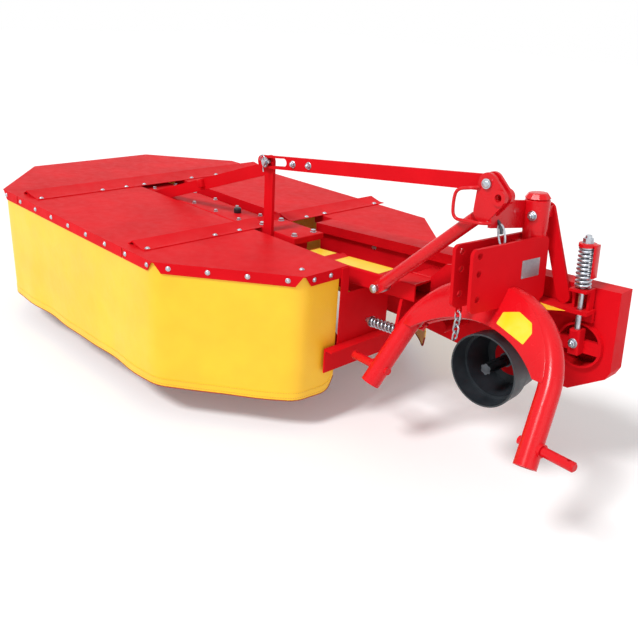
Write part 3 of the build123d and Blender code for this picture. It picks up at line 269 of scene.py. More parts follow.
@dataclass(frozen=True)
class GlossEnamel(Finish):
    """Gloss enamel sprayed on sheet steel.

    A deep even red with a shine over slight orange peel, a little deeper where the coat is thick,
    and a thin dull film of dust where it lies level.
    """

    name: str = "gloss_red_enamel"
    colour: str = "#DA101C"
    thick: str = "#C60B16"
    dust: str = "#D9A79B"
    shine: float = 0.05
    dull: Flat = (0.42, 0.52)
    thick_mm: float = 240.0
    thick_share: float = 0.8
    film_mm: float = 110.0
    film_range: Flat = (0.2, 1.0)
    # upward part of the normal from which dust lies, and the dust's share on a level face
    level_from: float = 0.7
    dust_share: float = 0.02
    scuff_mm: float = 34.0
    # real peel is about 2 mm wide and is drawn coarser so that it shows
    peel_mm: float = 9.0
    peel_depth_mm: float = 0.12
    peel_strength: float = 0.12

    def inputs(self, tree: Tree) -> dict[str, Any]:
        """Colour by coat thickness and dust, gloss by scuffs, relief by orange peel.

        Args:
            tree: Node tree of the material.

        Returns:
            Values, sockets and nodes for the shader.
        """
        coat = self.clouded(tree, self.thick_mm, self.thick_share, self.colour, self.thick)
        normal = add_node(tree, "ShaderNodeNewGeometry").outputs["Normal"]
        upward = add_node(tree, "ShaderNodeSeparateXYZ", inputs={"Vector": normal}).outputs["Z"]
        level = add_node(tree, "ShaderNodeMapRange", inputs={
            "Value": upward, "From Min": self.level_from, "To Max": self.dust_share})
        haze = self.mottle(tree, self.film_mm, *self.film_range)
        film = add_node(tree, MATH, TIMES, {0: level, 1: haze})
        dusty = add_node(tree, "ShaderNodeMix", COLOURS,
                         {MIX_FACTOR: film, MIX_A: coat, MIX_B: linear(self.dust)})
        return {"Base Color": dusty.outputs[MIX_RESULT],
                "Roughness": self.mottle(tree, self.scuff_mm, *self.dull),
                "Normal": self.grain(tree, self.peel_mm, self.peel_depth_mm, self.peel_strength),
                "Specular IOR Level": self.shine}


@dataclass(frozen=True)
class CoatedCanvas(Finish):
    """Tarpaulin: woven polyester with a soft vinyl coat.

    The threads show through the coat as a fine grid, the cloth is a little uneven in colour, and
    two rows of lock stitch hold the hem. The piece's own map runs along the cloth and up from its
    lower edge, in metres.
    """

    name: str = "coated_yellow_canvas"
    colour: str = "#FBC81E"
    deep: str = "#F2B412"
    thread: str = "#D99A0A"
    # real threads are about 1 mm apart and are drawn coarser so that they show
    thread_mm: float = 4.0
    thread_depth_mm: float = 0.35
    thread_strength: float = 0.5
    cloud_mm: float = 190.0
    cloud_share: float = 0.55
    crease_mm: float = 120.0
    crease_depth_mm: float = 4.0
    crease_strength: float = 0.35
    crease_detail: float = 4.0
    stitch_mm: float = 9.0
    stitch_share: float = 0.68
    stitch_width_mm: float = 1.6
    stitch_depth_mm: float = 0.6
    stitch_strength: float = 0.8
    hem_rows_mm: Flat = (9.0, 27.0)
    dull: Flat = (0.42, 0.56)
    sheen: float = 0.08
    coat: float = 0.1
    coat_dull: float = 0.35

    def stitches(self, tree: Tree, along: Socket, up: Socket) -> Node:
        """Mask of the stitch rows.

        Args:
            tree: Node tree of the material.
            along: Socket with the distance along the cloth.
            up: Socket with the height over the lower edge.

        Returns:
            Node that gives 1 on a stitch.
        """
        beat = add_node(tree, MATH, TIMES, {0: along, 1: per_metre(self.stitch_mm)})
        part = add_node(tree, MATH, {"operation": "FRACT"}, {0: beat})
        dash = add_node(tree, MATH, {"operation": "LESS_THAN"}, {0: part, 1: self.stitch_share})
        half = self.stitch_width_mm * MM / 2
        rows = [add_node(tree, MATH, {"operation": "COMPARE"}, {0: up, 1: row * MM, 2: half})
                for row in self.hem_rows_mm]
        either = add_node(tree, MATH, LARGER, dict(enumerate(rows)))
        return add_node(tree, MATH, TIMES, {0: either, 1: dash})

    def inputs(self, tree: Tree) -> dict[str, Any]:
        """Weave, clouds, soft creases and stitches.

        Args:
            tree: Node tree of the material.

        Returns:
            Values, sockets and nodes for the shader.
        """
        cloth = add_node(tree, "ShaderNodeUVMap", {"uv_map": CLOTH_MAP})
        axes = add_node(tree, "ShaderNodeSeparateXYZ", inputs={"Vector": cloth})
        along, up = axes.outputs["X"], axes.outputs["Y"]
        waves = []
        for axis in (along, up):
            turn = add_node(tree, MATH, TIMES, {0: axis, 1: math.pi * per_metre(self.thread_mm)})
            waves.append(add_node(tree, MATH, {"operation": "SINE"}, {0: turn}))
        weave = add_node(tree, MATH, TIMES, dict(enumerate(waves)))
        grid = add_node(tree, MATH, {"operation": "MULTIPLY_ADD"}, {0: weave, 1: 0.5, 2: 0.5})
        sewn = self.stitches(tree, along, up)
        body = self.clouded(tree, self.cloud_mm, self.cloud_share, self.colour, self.deep)
        tone = add_node(tree, "ShaderNodeMix", COLOURS,
                        {MIX_FACTOR: sewn, MIX_A: body, MIX_B: linear(self.thread)})
        normal = self.grain(tree, self.crease_mm, self.crease_depth_mm, self.crease_strength,
                            self.crease_detail)
        for height, depth_mm, strength in ((grid, self.thread_depth_mm, self.thread_strength),
                                           (sewn, self.stitch_depth_mm, self.stitch_strength)):
            normal = add_node(tree, "ShaderNodeBump", inputs={
                "Height": height, "Distance": depth_mm * MM, "Strength": strength, "Normal": normal})
        return {"Base Color": tone.outputs[MIX_RESULT],
                "Roughness": self.mottle(tree, self.crease_mm, *self.dull),
                "Normal": normal, "Sheen Weight": self.sheen,
                "Coat Weight": self.coat, "Coat Roughness": self.coat_dull}


@dataclass(frozen=True)
class BindingTape(Finish):
    """Woven tape folded over the cloth's edge: matt, ribbed across."""

    name: str = "red_brown_binding_tape"
    colour: str = "#A8231B"
    worn: str = "#8C2A1C"
    # real ribs are about 1.5 mm apart and are drawn as coarser bumps so that they show
    rib_mm: float = 5.0
    rib_depth_mm: float = 0.5
    rib_strength: float = 0.6
    cloud_mm: float = 60.0
    dull: float = 0.75

    def inputs(self, tree: Tree) -> dict[str, Any]:
        """Uneven dye, and bumps for the ribs."""
        return {"Base Color": self.clouded(tree, self.cloud_mm, 1.0, self.colour, self.worn),
                "Normal": self.grain(tree, self.rib_mm, self.rib_depth_mm, self.rib_strength),
                "Roughness": self.dull}


@dataclass(frozen=True)
class PlatedMetal(Finish):
    """Metal seen bare or through a thin plating: bright, cloudy, finely marked."""

    name: str = "zinc_plate"
    colour: str = "#C6CBD1"
    cloud: str = "#9DA4AE"
    cloud_mm: float = 14.0
    # real marks are parts of a millimetre wide and are drawn coarser so that they show
    mark_mm: float = 3.0
    mark_depth_mm: float = 0.06
    dull: Flat = (0.24, 0.42)
    cloud_share: float = 0.8
    mark_strength: float = 0.5
    mark_detail: float = 2.0

    def inputs(self, tree: Tree) -> dict[str, Any]:
        """Clouded colour, clouded gloss and fine marks."""
        return {"Base Color": self.clouded(tree, self.cloud_mm, self.cloud_share, self.colour, self.cloud),
                "Roughness": self.mottle(tree, self.cloud_mm, *self.dull), "Metallic": 1.0,
                "Normal": self.grain(tree, self.mark_mm, self.mark_depth_mm, self.mark_strength,
                                     self.mark_detail)}


@dataclass(frozen=True)
class MouldedPlastic(Finish):
    """Injection moulded polypropylene: black with a fine spark-eroded grain and a soft shine."""

    name: str = "moulded_black_plastic"
    colour: str = "#20252A"
    rubbed: str = "#343A40"
    rub_mm: float = 45.0
    rub_share: float = 0.5
    dull: Flat = (0.34, 0.5)
    # real grain is about 0.4 mm and is drawn coarser so that it shows
    grain_mm: float = 2.5
    grain_depth_mm: float = 0.15
    grain_strength: float = 0.5

    def inputs(self, tree: Tree) -> dict[str, Any]:
        """Rubbed patches over the grain."""
        return {"Base Color": self.clouded(tree, self.rub_mm, self.rub_share, self.colour, self.rubbed),
                "Roughness": self.mottle(tree, self.rub_mm, *self.dull),
                "Normal": self.grain(tree, self.grain_mm, self.grain_depth_mm, self.grain_strength)}


@dataclass(frozen=True)
class VinylLabel(Finish):
    """Cast vinyl sticker: even colour, slightly faded, with a satin face."""

    name: str = "yellow_vinyl"
    colour: str = "#FFD21A"
    faded: str = "#F5DD55"
    fade_mm: float = 40.0
    fade_share: float = 0.6
    dull: Flat = (0.28, 0.4)

    def inputs(self, tree: Tree) -> dict[str, Any]:
        """Slight fading and a satin sheen."""
        return {"Base Color": self.clouded(tree, self.fade_mm, self.fade_share, self.colour, self.faded),
                "Roughness": self.mottle(tree, self.fade_mm, *self.dull)}


RED_ENAMEL = GlossEnamel()
# the tubes have a fresher shine than the dusty sheets and plates
TUBE_ENAMEL = GlossEnamel("gloss_red_tube_enamel", shine=0.26, dull=(0.2, 0.3))
CANVAS = CoatedCanvas()
BINDING = BindingTape()
ZINC = PlatedMetal()
# turned steel is greyer than zinc and more even
MACHINED = PlatedMetal("machined_steel", "#9A9DA2", "#7C8086", 8.0, 2.0, 0.08, (0.3, 0.46))
# hardened steel is dark and dull, with coarser marks
FORGED = PlatedMetal("hardened_dark_steel", "#55595F", "#3B3E43", 26.0, 4.0, 0.2, (0.38, 0.58))
# brushed aluminium is pale and satin, with the finest marks
BRIGHT_PLATE = PlatedMetal("brushed_aluminium", "#B4B8BD", "#A2A6AC", 10.0, 1.5, 0.04, (0.3, 0.42))
PLASTIC = MouldedPlastic()
LABEL = VinylLabel()
NODE_FINISH = {"input_shaft": FORGED, "hitch_arch": TUBE_ENAMEL, "hitch_pins": TUBE_ENAMEL,
               "pivot_tube": TUBE_ENAMEL, "diagonal_tube": TUBE_ENAMEL, "upper_bracket": TUBE_ENAMEL}
SLOT_FINISH = {Slot.RED: RED_ENAMEL, Slot.ZINC: ZINC, Slot.STEEL: MACHINED, Slot.DARK: FORGED,
               Slot.CANVAS: CANVAS, Slot.PLASTIC: PLASTIC}


@dataclass(frozen=True)
class Datum:
    """The drawing frames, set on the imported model."""

    tilt_pin: Point = (600.0, 0.0, 430.0)
    tilt_deg: float = 4.026
    king_pin: Point = (1515.0, 110.0, 0.0)
    yoke_deg: float = -8.317

    def centre(self) -> Vector:
        """Ground point below the middle of the canopy.

        Returns:
            The point in metres.
        """
        low = Vector(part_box("canopy_front_outer")[0])
        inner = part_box("canopy_front_inner")[1]
        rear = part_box("canopy_rear_middle")[1]
        return Vector(((low.x + inner.x) / 2, (low.y + rear.y) / 2, 0.0))

    def matrix(self, place: Place) -> Matrix:
        """Way from one drawing frame, in millimetres, to the model's metres.

        Args:
            place: Which drawing frame.

        Returns:
            The 4x4 matrix.
        """
        mower = Matrix.Translation(self.centre()) @ Matrix.Scale(MM, 4)
        if place is Place.MOWER:
            return mower
        pin = Matrix.Translation(self.tilt_pin)
        arm = mower @ pin @ Matrix.Rotation(math.radians(self.tilt_deg), 4, Vector(FRONT)) @ pin.inverted()
        if place is Place.ARM:
            return arm
        king = Matrix.Translation(self.king_pin)
        return arm @ king @ Matrix.Rotation(math.radians(self.yoke_deg), 4, "Z") @ king.inverted()


DATUM = Datum()


def clear_table() -> None:
    """Leave nothing selected, in object mode."""
    if bpy.context.mode != "OBJECT":
        bpy.ops.object.mode_set(mode="OBJECT")
    bpy.ops.object.select_all(action="DESELECT")


def take(obj: Piece) -> None:
    """Select one object alone and make it the active one.

    Args:
        obj: The object.
    """
    clear_table()
    obj.select_set(True)
    bpy.context.view_layer.objects.active = obj


def edit_all(obj: Piece) -> None:
    """Go to edit mode with the whole mesh selected.

    Args:
        obj: The object.
    """
    take(obj)
    bpy.ops.object.mode_set(mode="EDIT")
    bpy.ops.mesh.select_all(action="SELECT")


def pick(obj: Piece, test: Callable[[Vector, Vector], bool]) -> None:
    """Go to edit mode with only those faces selected that pass a test.

    Args:
        obj: The object.
        test: Takes a face's centre and normal.
    """
    take(obj)
    bpy.ops.object.mode_set(mode="EDIT")
    bpy.ops.mesh.select_mode(type="FACE")
    bpy.ops.mesh.select_all(action="DESELECT")
    bpy.ops.object.mode_set(mode="OBJECT")
    for face in obj.data.polygons:
        face.select = test(face.center, face.normal)
    bpy.ops.object.mode_set(mode="EDIT")


def pick_top(obj: Piece) -> None:
    """Go to edit mode with the level upper faces selected."""
    pick(obj, lambda centre, normal: normal.z > SQUARE_ON)


def leave_edit() -> None:
    """Go back to object mode."""
    bpy.ops.object.mode_set(mode="OBJECT")


def added(name: str) -> Piece:
    """Name the primitive that was just added and bring its place into its mesh.

    Args:
        name: Name of the piece.

    Returns:
        The new object, at the origin.
    """
    obj = bpy.context.active_object
    obj.name = name
    obj.data.name = name
    bpy.ops.object.transform_apply(location=True, rotation=True, scale=True)
    return obj


def block(name: str, low: Point, high: Point) -> Piece:
    """Add a plain block to start a piece from.

    Args:
        name: Name of the piece.
        low: Its lowest corner.
        high: Its highest corner.

    Returns:
        The block.
    """
    clear_table()
    bpy.ops.mesh.primitive_cube_add(size=1.0, location=(Vector(low) + Vector(high)) / 2)
    bpy.context.active_object.scale = Vector(high) - Vector(low)
    return added(name)


def round_post(name: str, sides: int, radius: float, foot: Point, height: float) -> Piece:
    """Add a plain post along +Z to start a piece from.

    Args:
        name: Name of the piece.
        sides: Number of its sides.
        radius: Radius of its corners.
        foot: Middle of its lower end.
        height: Its height.

    Returns:
        The post.
    """
    clear_table()
    bpy.ops.mesh.primitive_cylinder_add(vertices=sides, radius=radius, depth=height,
                                        location=(foot[0], foot[1], foot[2] + height / 2))
    return added(name)


def crown(obj: Piece, inset: float, rise: float) -> None:
    """Draw the level upper faces in and raise them, which leaves a sloping rim.

    Args:
        obj: The object.
        inset: Width of the rim.
        rise: How far the middle is raised.
    """
    pick_top(obj)
    bpy.ops.mesh.inset(thickness=inset)
    bpy.ops.transform.translate(value=(0, 0, rise))
    leave_edit()


def finish_with(obj: Piece, kind: str, **settings: Any) -> None:
    """Add a modifier, set it and apply it.

    Args:
        obj: The object.
        kind: Blender's name of the modifier.
        **settings: Its properties.
    """
    take(obj)
    modifier = obj.modifiers.new(kind.lower(), kind)
    for key, value in settings.items():
        setattr(modifier, key, value)
    bpy.ops.object.modifier_apply(modifier=modifier.name)


def break_edges(obj: Piece, width: float, segments: int = 2) -> None:
    """Bevel the sharp edges.

    Args:
        obj: The object.
        width: Width of the bevel.
        segments: Number of its steps.
    """
    finish_with(obj, "BEVEL", width=width, segments=segments, limit_method="ANGLE")


def smoothed(obj: Piece, degrees: float = 32.0) -> Piece:
    """Shade an object smooth but for its sharp edges.

    Args:
        obj: The object.
        degrees: Angle from which an edge stays sharp.

    Returns:
        The same object.
    """
    take(obj)
    bpy.ops.object.shade_smooth_by_angle(angle=math.radians(degrees))
    return obj


def joined(name: str, parts: Sequence[Piece]) -> Piece:
    """Join objects into one.

    Args:
        name: Name of the whole.
        parts: The objects, the first of which stays.

    Returns:
        The whole.
    """
    take(parts[0])
    for part in parts[1:]:
        part.select_set(True)
    if len(parts) > 1:
        bpy.ops.object.join()
    parts[0].name = name
    parts[0].data.name = name
    return parts[0]


def copied(obj: Piece, matrix: Matrix) -> Piece:
    """Copy an object with its own mesh and move that mesh.

    Args:
        obj: The model.
        matrix: Where the copy goes.

    Returns:
        The copy, at the origin.
    """
    twin = obj.copy()
    twin.data = obj.data.copy()
    twin.data.transform(matrix)
    bpy.context.scene.collection.objects.link(twin)
    return twin


def settle(obj: Piece, place: Place, finish: Finish) -> Piece:
    """Bring a modelled piece to its place in the model, dress it and let it ride on its body.

    Args:
        obj: The piece, in the millimetres of a drawing frame.
        place: That drawing frame, which is also the body's name.
        finish: Its finish.

    Returns:
        The same object.
    """
    obj.data.transform(DATUM.matrix(place))
    obj.data.materials.clear()
    obj.data.materials.append(finish.material())
    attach(obj, place.value)
    LOG.info("piece %s rides on %s", obj.name, place.value)
    return obj


def facing(position: Point, normal: Point, spin_deg: float) -> Matrix:
    """Matrix that stands a piece on a surface.

    Args:
        position: Where its origin goes.
        normal: Which way its +Z points.
        spin_deg: Turn about its own Z first.

    Returns:
        The 4x4 matrix.
    """
    turn = Vector(normal).to_track_quat("Z", "Y").to_matrix().to_4x4()
    return Matrix.Translation(position) @ turn @ Matrix.Rotation(math.radians(spin_deg), 4, "Z")


def round_curve(name: str, kind: str, knots: Sequence[Any], radius: float, steps: int) -> bpy.types.Curve:
    """Curve of one line with a round section and closed ends.

    Args:
        name: Name of the piece.
        kind: Blender's name of the kind of line.
        knots: Its points in millimetres.
        radius: Radius of the section.
        steps: Fineness of the section.

    Returns:
        The curve.
    """
    curve = bpy.data.curves.new(name, "CURVE")
    curve.dimensions = "3D"
    curve.bevel_depth = radius
    curve.bevel_resolution = steps
    curve.resolution_u = CURVE_STEPS
    curve.use_fill_caps = True
    line = curve.splines.new(kind)
    line.points.add(len(knots) - 1)
    for knot, place in zip(line.points, knots):
        knot.co = (*place, 1.0)
    return curve


def as_mesh(curve: bpy.types.Curve, sharp_deg: float) -> Piece:
    """Turn a curve to a mesh.

    Args:
        curve: The curve.
        sharp_deg: Angle from which an edge stays sharp.

    Returns:
        The mesh object.
    """
    obj = bpy.data.objects.new(curve.name, curve)
    bpy.context.scene.collection.objects.link(obj)
    take(obj)
    bpy.ops.object.convert(target="MESH")
    return smoothed(bpy.context.active_object, sharp_deg)


def bent_wire(name: str, points: Sequence[Point], radius: float, closed: bool = False) -> Piece:
    """Round wire along a smooth line that a few points pull into shape.

    Args:
        name: Name of the piece.
        points: Control points in millimetres.
        radius: Radius of the wire.
        closed: Whether the line closes on itself.

    Returns:
        The wire as a mesh.
    """
    curve = round_curve(name, "NURBS", points, radius, WIRE_STEPS)
    line = curve.splines[0]
    line.use_cyclic_u = closed
    line.order_u = WIRE_ORDER
    line.use_endpoint_u = not closed
    return as_mesh(curve, WIRE_SHARP_DEG)


def weld_run(start: Point, end: Point, radius: float, ripple_mm: float = 7.0) -> Piece:
    """Straight weld bead, with the ripples that the torch leaves.

    Args:
        start: One end in millimetres.
        end: The other end.
        radius: Radius of the bead.
        ripple_mm: Length of one ripple.

    Returns:
        The bead as a mesh.
    """
    first, last = Vector(start), Vector(end)
    steps = max(2, round((last - first).length / ripple_mm * 2))
    knots = [first.lerp(last, i / steps) for i in range(steps + 1)]
    curve = round_curve("bead", "POLY", knots, radius, BEAD_STEPS)
    for index, knot in enumerate(curve.splines[0].points):
        knot.radius = 1.0 if index % 2 else BEAD_WAIST
    return as_mesh(curve, BEAD_SHARP_DEG)


@dataclass(frozen=True)
class Seat:
    """Where a fastener sits: the place of its foot and the way its head points."""

    position: Point
    normal: Point


def washer_ring(sides: int, radius: float, thick: float) -> Piece:
    """Flat washer on the origin, with broken edges.

    Args:
        sides: Number of its sides.
        radius: Its radius.
        thick: Its thickness.

    Returns:
        The washer.
    """
    washer = round_post("washer", sides, radius, (0.0, 0.0, 0.0), thick)
    break_edges(washer, thick / 3, 1)
    return washer


@dataclass(frozen=True)
class HexBolt:
    """Hexagon head on a washer, or the nut and end of a stud."""

    flats: float = 13.0
    head: float = 5.5
    washer_r: float = 8.5
    washer: float = 1.6
    stud_r: float = 0.0
    stud: float = 0.0
    # the head's chamfer by its width and height, and the stud's by its radius
    head_rim: float = 0.07
    head_rise: float = 0.16
    stud_rim: float = 0.22
    stud_rise: float = 0.2
    washer_sides: int = 18
    stud_sides: int = 14

    def model(self) -> Piece:
        """Model one, standing on the origin along +Z.

        Returns:
            The bolt.
        """
        washer = washer_ring(self.washer_sides, self.washer_r, self.washer)
        head = round_post("head", HEXAGON, self.flats / math.sqrt(3), (0.0, 0.0, self.washer), self.head)
        crown(head, self.flats * self.head_rim, self.head * self.head_rise)
        parts = [washer, head]
        if self.stud > 0:
            foot = (0.0, 0.0, self.washer + self.head)
            stud = round_post("stud", self.stud_sides, self.stud_r, foot, self.stud)
            crown(stud, self.stud_r * self.stud_rim, self.stud_r * self.stud_rise)
            parts.append(stud)
        return smoothed(joined("bolt_model", parts))


@dataclass(frozen=True)
class DomeBolt:
    """Round-headed bolt with a flat washer under it."""

    dome_r: float = 6.8
    dome: float = 4.6
    washer_r: float = 8.8
    washer: float = 1.5
    washer_sides: int = 20
    dome_sides: int = 18
    dome_rings: int = 10
    sharp_deg: float = 40.0

    def model(self) -> Piece:
        """Model one, standing on the origin along +Z.

        Returns:
            The bolt.
        """
        washer = washer_ring(self.washer_sides, self.washer_r, self.washer)
        clear_table()
        bpy.ops.mesh.primitive_uv_sphere_add(segments=self.dome_sides, ring_count=self.dome_rings,
                                             radius=self.dome_r)
        dome = added("dome")
        edit_all(dome)
        bpy.ops.mesh.bisect(plane_co=(0, 0, 0), plane_no=UP, use_fill=True, clear_inner=True)
        leave_edit()
        flatten = Matrix.Diagonal((1.0, 1.0, self.dome / self.dome_r, 1.0))
        dome.data.transform(Matrix.Translation((0, 0, self.washer)) @ flatten)
        return smoothed(joined("bolt_model", [washer, dome]), self.sharp_deg)


def fasten(name: str, bolt: HexBolt | DomeBolt, seats: Sequence[Seat], place: Place) -> None:
    """Set copies of one fastener on their seats, as one zinc-plated piece.

    Args:
        name: Name of the group.
        bolt: The fastener.
        seats: Where the copies go.
        place: Drawing frame and body.
    """
    model = bolt.model()
    copies = []
    for index, seat in enumerate(seats):
        copies.append(copied(model, facing(seat.position, seat.normal, FASTENER_TURN_DEG * index)))
    bpy.data.objects.remove(model)
    settle(joined(name, copies), place, ZINC)


@dataclass(frozen=True)
class Label:
    """Thin plate or sticker cut to an outline, in its own plane."""

    outline: Sequence[Flat]
    corner: float = 4.0
    thick: float = 0.8
    corner_steps: int = 4

    def model(self, name: str, matrix: Matrix) -> Piece:
        """Model the label and lay it on a surface.

        Args:
            name: Name of the piece.
            matrix: Way from its own plane to the drawing frame.

        Returns:
            The label.
        """
        clear_table()
        bpy.ops.mesh.primitive_circle_add(vertices=len(self.outline), radius=1.0, fill_type="NGON")
        obj = added(name)
        for vertex, (across, up) in zip(obj.data.vertices, self.outline):
            vertex.co = (across, up, 0.0)
        edit_all(obj)
        bpy.ops.mesh.bevel(offset=self.corner, segments=self.corner_steps, affect="VERTICES")
        bpy.ops.mesh.normals_make_consistent(inside=False)
        leave_edit()
        if obj.data.polygons[0].normal.z < 0:
            obj.data.flip_normals()
        finish_with(obj, "SOLIDIFY", thickness=self.thick, offset=1.0)
        obj.data.transform(matrix)
        return obj


@dataclass(frozen=True)
class CoilSpring:
    """Round-wire compression spring with a closed turn at each end."""

    radius: float
    wire: float
    length: float
    turns: int
    steps: int = 28
    wire_sides: int = 12
    # part of the wire's radius within which the stretches' ends merge
    merge: float = 0.05
    sharp_deg: float = 60.0

    def run(self, start: float, pitch: float, turns: int) -> Piece:
        """One stretch of even pitch.

        Args:
            start: Height of the wire's middle at its start.
            pitch: Rise in one turn.
            turns: Number of turns.

        Returns:
            The stretch, open at its ends.
        """
        clear_table()
        bpy.ops.mesh.primitive_circle_add(vertices=self.wire_sides, radius=self.wire,
                                          location=(self.radius, 0, start), rotation=(math.pi / 2, 0, 0))
        obj = added("spring_run")
        finish_with(obj, "SCREW", axis="Z", angle=2 * math.pi, screw_offset=pitch, iterations=turns,
                    steps=self.steps, render_steps=self.steps)
        return obj

    def model(self, name: str) -> Piece:
        """Model the spring from the origin up along +Z.

        Args:
            name: Name of the piece.

        Returns:
            The spring, closed at its wire's ends.
        """
        closed = 2 * self.wire
        free = (self.length - 2 * closed - 2 * self.wire) / (self.turns - 2)
        runs = [self.run(self.wire, closed, 1), self.run(self.wire + closed, free, self.turns - 2),
                self.run(self.length - self.wire - closed, closed, 1)]
        spring = joined(name, runs)
        edit_all(spring)
        bpy.ops.mesh.remove_doubles(threshold=self.wire * self.merge)
        bpy.ops.mesh.fill_holes(sides=0)
        bpy.ops.mesh.normals_make_consistent(inside=False)
        leave_edit()
        return smoothed(spring, self.sharp_deg)


@dataclass
class CadNodes:
    """The rigid CAD nodes, which keep their shape and get their finish."""

    nodes: dict[str, Piece]
    record: dict[str, Any]

    def dress(self) -> None:
        """Give each node its own finish or that of its slot in the record."""
        for part in self.record["subparts"]:
            node = self.nodes[part["node"]]
            finish = NODE_FINISH.get(part["node"], SLOT_FINISH[Slot(part["material_slot"])])
            node.data.materials.clear()
            node.data.materials.append(finish.material())


@dataclass
class Stage:
    """Floor, lights and camera at the photograph's angle."""

    # camera fitted to the photograph, from the middle of the canopy's top
    camera_from_top: Point = (2.622, -1.884, 0.833)
    azimuth_deg: float = 45.185
    elevation_deg: float = 22.728
    roll_deg: float = 3.37
    lens_mm: float = 43.65
    floor_m: float = 40.0
    floor_colour: str = "#F2F2F2"
    floor_lift: float = 0.12
    sky: float = 0.55
    sky_colour: Colour = (1.0, 1.0, 1.0, 1.0)
    sun: float = 2.3
    sun_from: Point = (-0.05, -0.66, 0.75)
    sun_spread_deg: float = 14.0
    fill: float = 0.5
    fill_from: Point = (0.9, -0.3, 0.35)
    fill_spread_deg: float = 50.0

    def floor(self) -> None:
        """Pale floor that reads as white and keeps the object's shadow."""
        clear_table()
        bpy.ops.mesh.primitive_plane_add(size=self.floor_m)
        floor = added("floor")
        paint = bpy.data.materials.new("pale_floor_paint")
        paint.use_nodes = True
        tree = paint.node_tree
        tree.nodes.clear()
        matt = add_node(tree, "ShaderNodeBsdfDiffuse", inputs={"Color": linear(self.floor_colour)})
        lift = add_node(tree, MATH, TIMES, {0: self.seen_directly(tree), 1: self.floor_lift})
        glow = add_node(tree, "ShaderNodeEmission", inputs={"Strength": lift})
        both = add_node(tree, "ShaderNodeAddShader", inputs={0: matt, 1: glow})
        add_node(tree, "ShaderNodeOutputMaterial", inputs={"Surface": both})
        floor.data.materials.append(paint)

    @staticmethod
    def seen_directly(tree: Tree) -> Node:
        """Mask that is 1 where the camera, a reflection or glass looks at the stage.

        Args:
            tree: Node tree that gets the nodes.

        Returns:
            The node that carries the mask.
        """
        path = add_node(tree, "ShaderNodeLightPath").outputs
        pair = add_node(tree, MATH, LARGER, {0: path["Is Camera Ray"], 1: path["Is Glossy Ray"]})
        return add_node(tree, MATH, LARGER, {0: pair, 1: path["Is Transmission Ray"]})

    def light(self) -> None:
        """Even studio sky that looks white, a soft key light and a weak fill."""
        world = bpy.data.worlds.new("studio_sky")
        world.use_nodes = True
        tree = world.node_tree
        tree.nodes.clear()
        seen = self.seen_directly(tree)
        strength = add_node(tree, "ShaderNodeMapRange", inputs={"Value": seen, "To Min": self.sky})
        sky = add_node(tree, "ShaderNodeBackground", inputs={"Strength": strength, "Color": self.sky_colour})
        add_node(tree, "ShaderNodeOutputWorld", inputs={"Surface": sky})
        bpy.context.scene.world = world
        self.lamp("key_light", self.sun, self.sun_from, self.sun_spread_deg)
        self.lamp("fill_light", self.fill, self.fill_from, self.fill_spread_deg)

    @staticmethod
    def lamp(name: str, strength: float, towards: Point, spread_deg: float) -> None:
        """Add one far lamp.

        Args:
            name: Name of the lamp.
            strength: Its strength.
            towards: Direction in which it stands.
            spread_deg: How wide it looks, which softens its shadows.
        """
        data = bpy.data.lights.new(name, "SUN")
        data.energy = strength
        data.angle = math.radians(spread_deg)
        lamp = bpy.data.objects.new(name, data)
        lamp.rotation_mode = "QUATERNION"
        lamp.rotation_quaternion = Vector(towards).to_track_quat("Z", "Y")
        bpy.context.scene.collection.objects.link(lamp)

    def camera(self) -> None:
        """Camera where the photograph was taken from."""
        a, e, r = (math.radians(v) for v in (self.azimuth_deg, self.elevation_deg, self.roll_deg))
        right = Vector((math.cos(a), math.sin(a), 0.0))
        ahead = Vector((-math.sin(a) * math.cos(e), math.cos(a) * math.cos(e), -math.sin(e)))
        up = right.cross(ahead)
        across = right * math.cos(r) + up * math.sin(r)
        upright = up * math.cos(r) - right * math.sin(r)
        top = DATUM.centre() + Vector((0.0, 0.0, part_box("canopy_front_middle")[1].z))
        eye = bpy.data.objects.new("camera", bpy.data.cameras.new("camera"))
        eye.data.lens = self.lens_mm
        turn = Matrix((across, upright, -ahead)).transposed().to_4x4()
        eye.matrix_world = Matrix.Translation(top + Vector(self.camera_from_top)) @ turn
        bpy.context.scene.collection.objects.link(eye)
        bpy.context.scene.camera = eye

    def build(self) -> None:
        """Set the whole stage."""
        bpy.context.scene.view_settings.view_transform = "Standard"
        self.floor()
        self.light()
        self.camera()


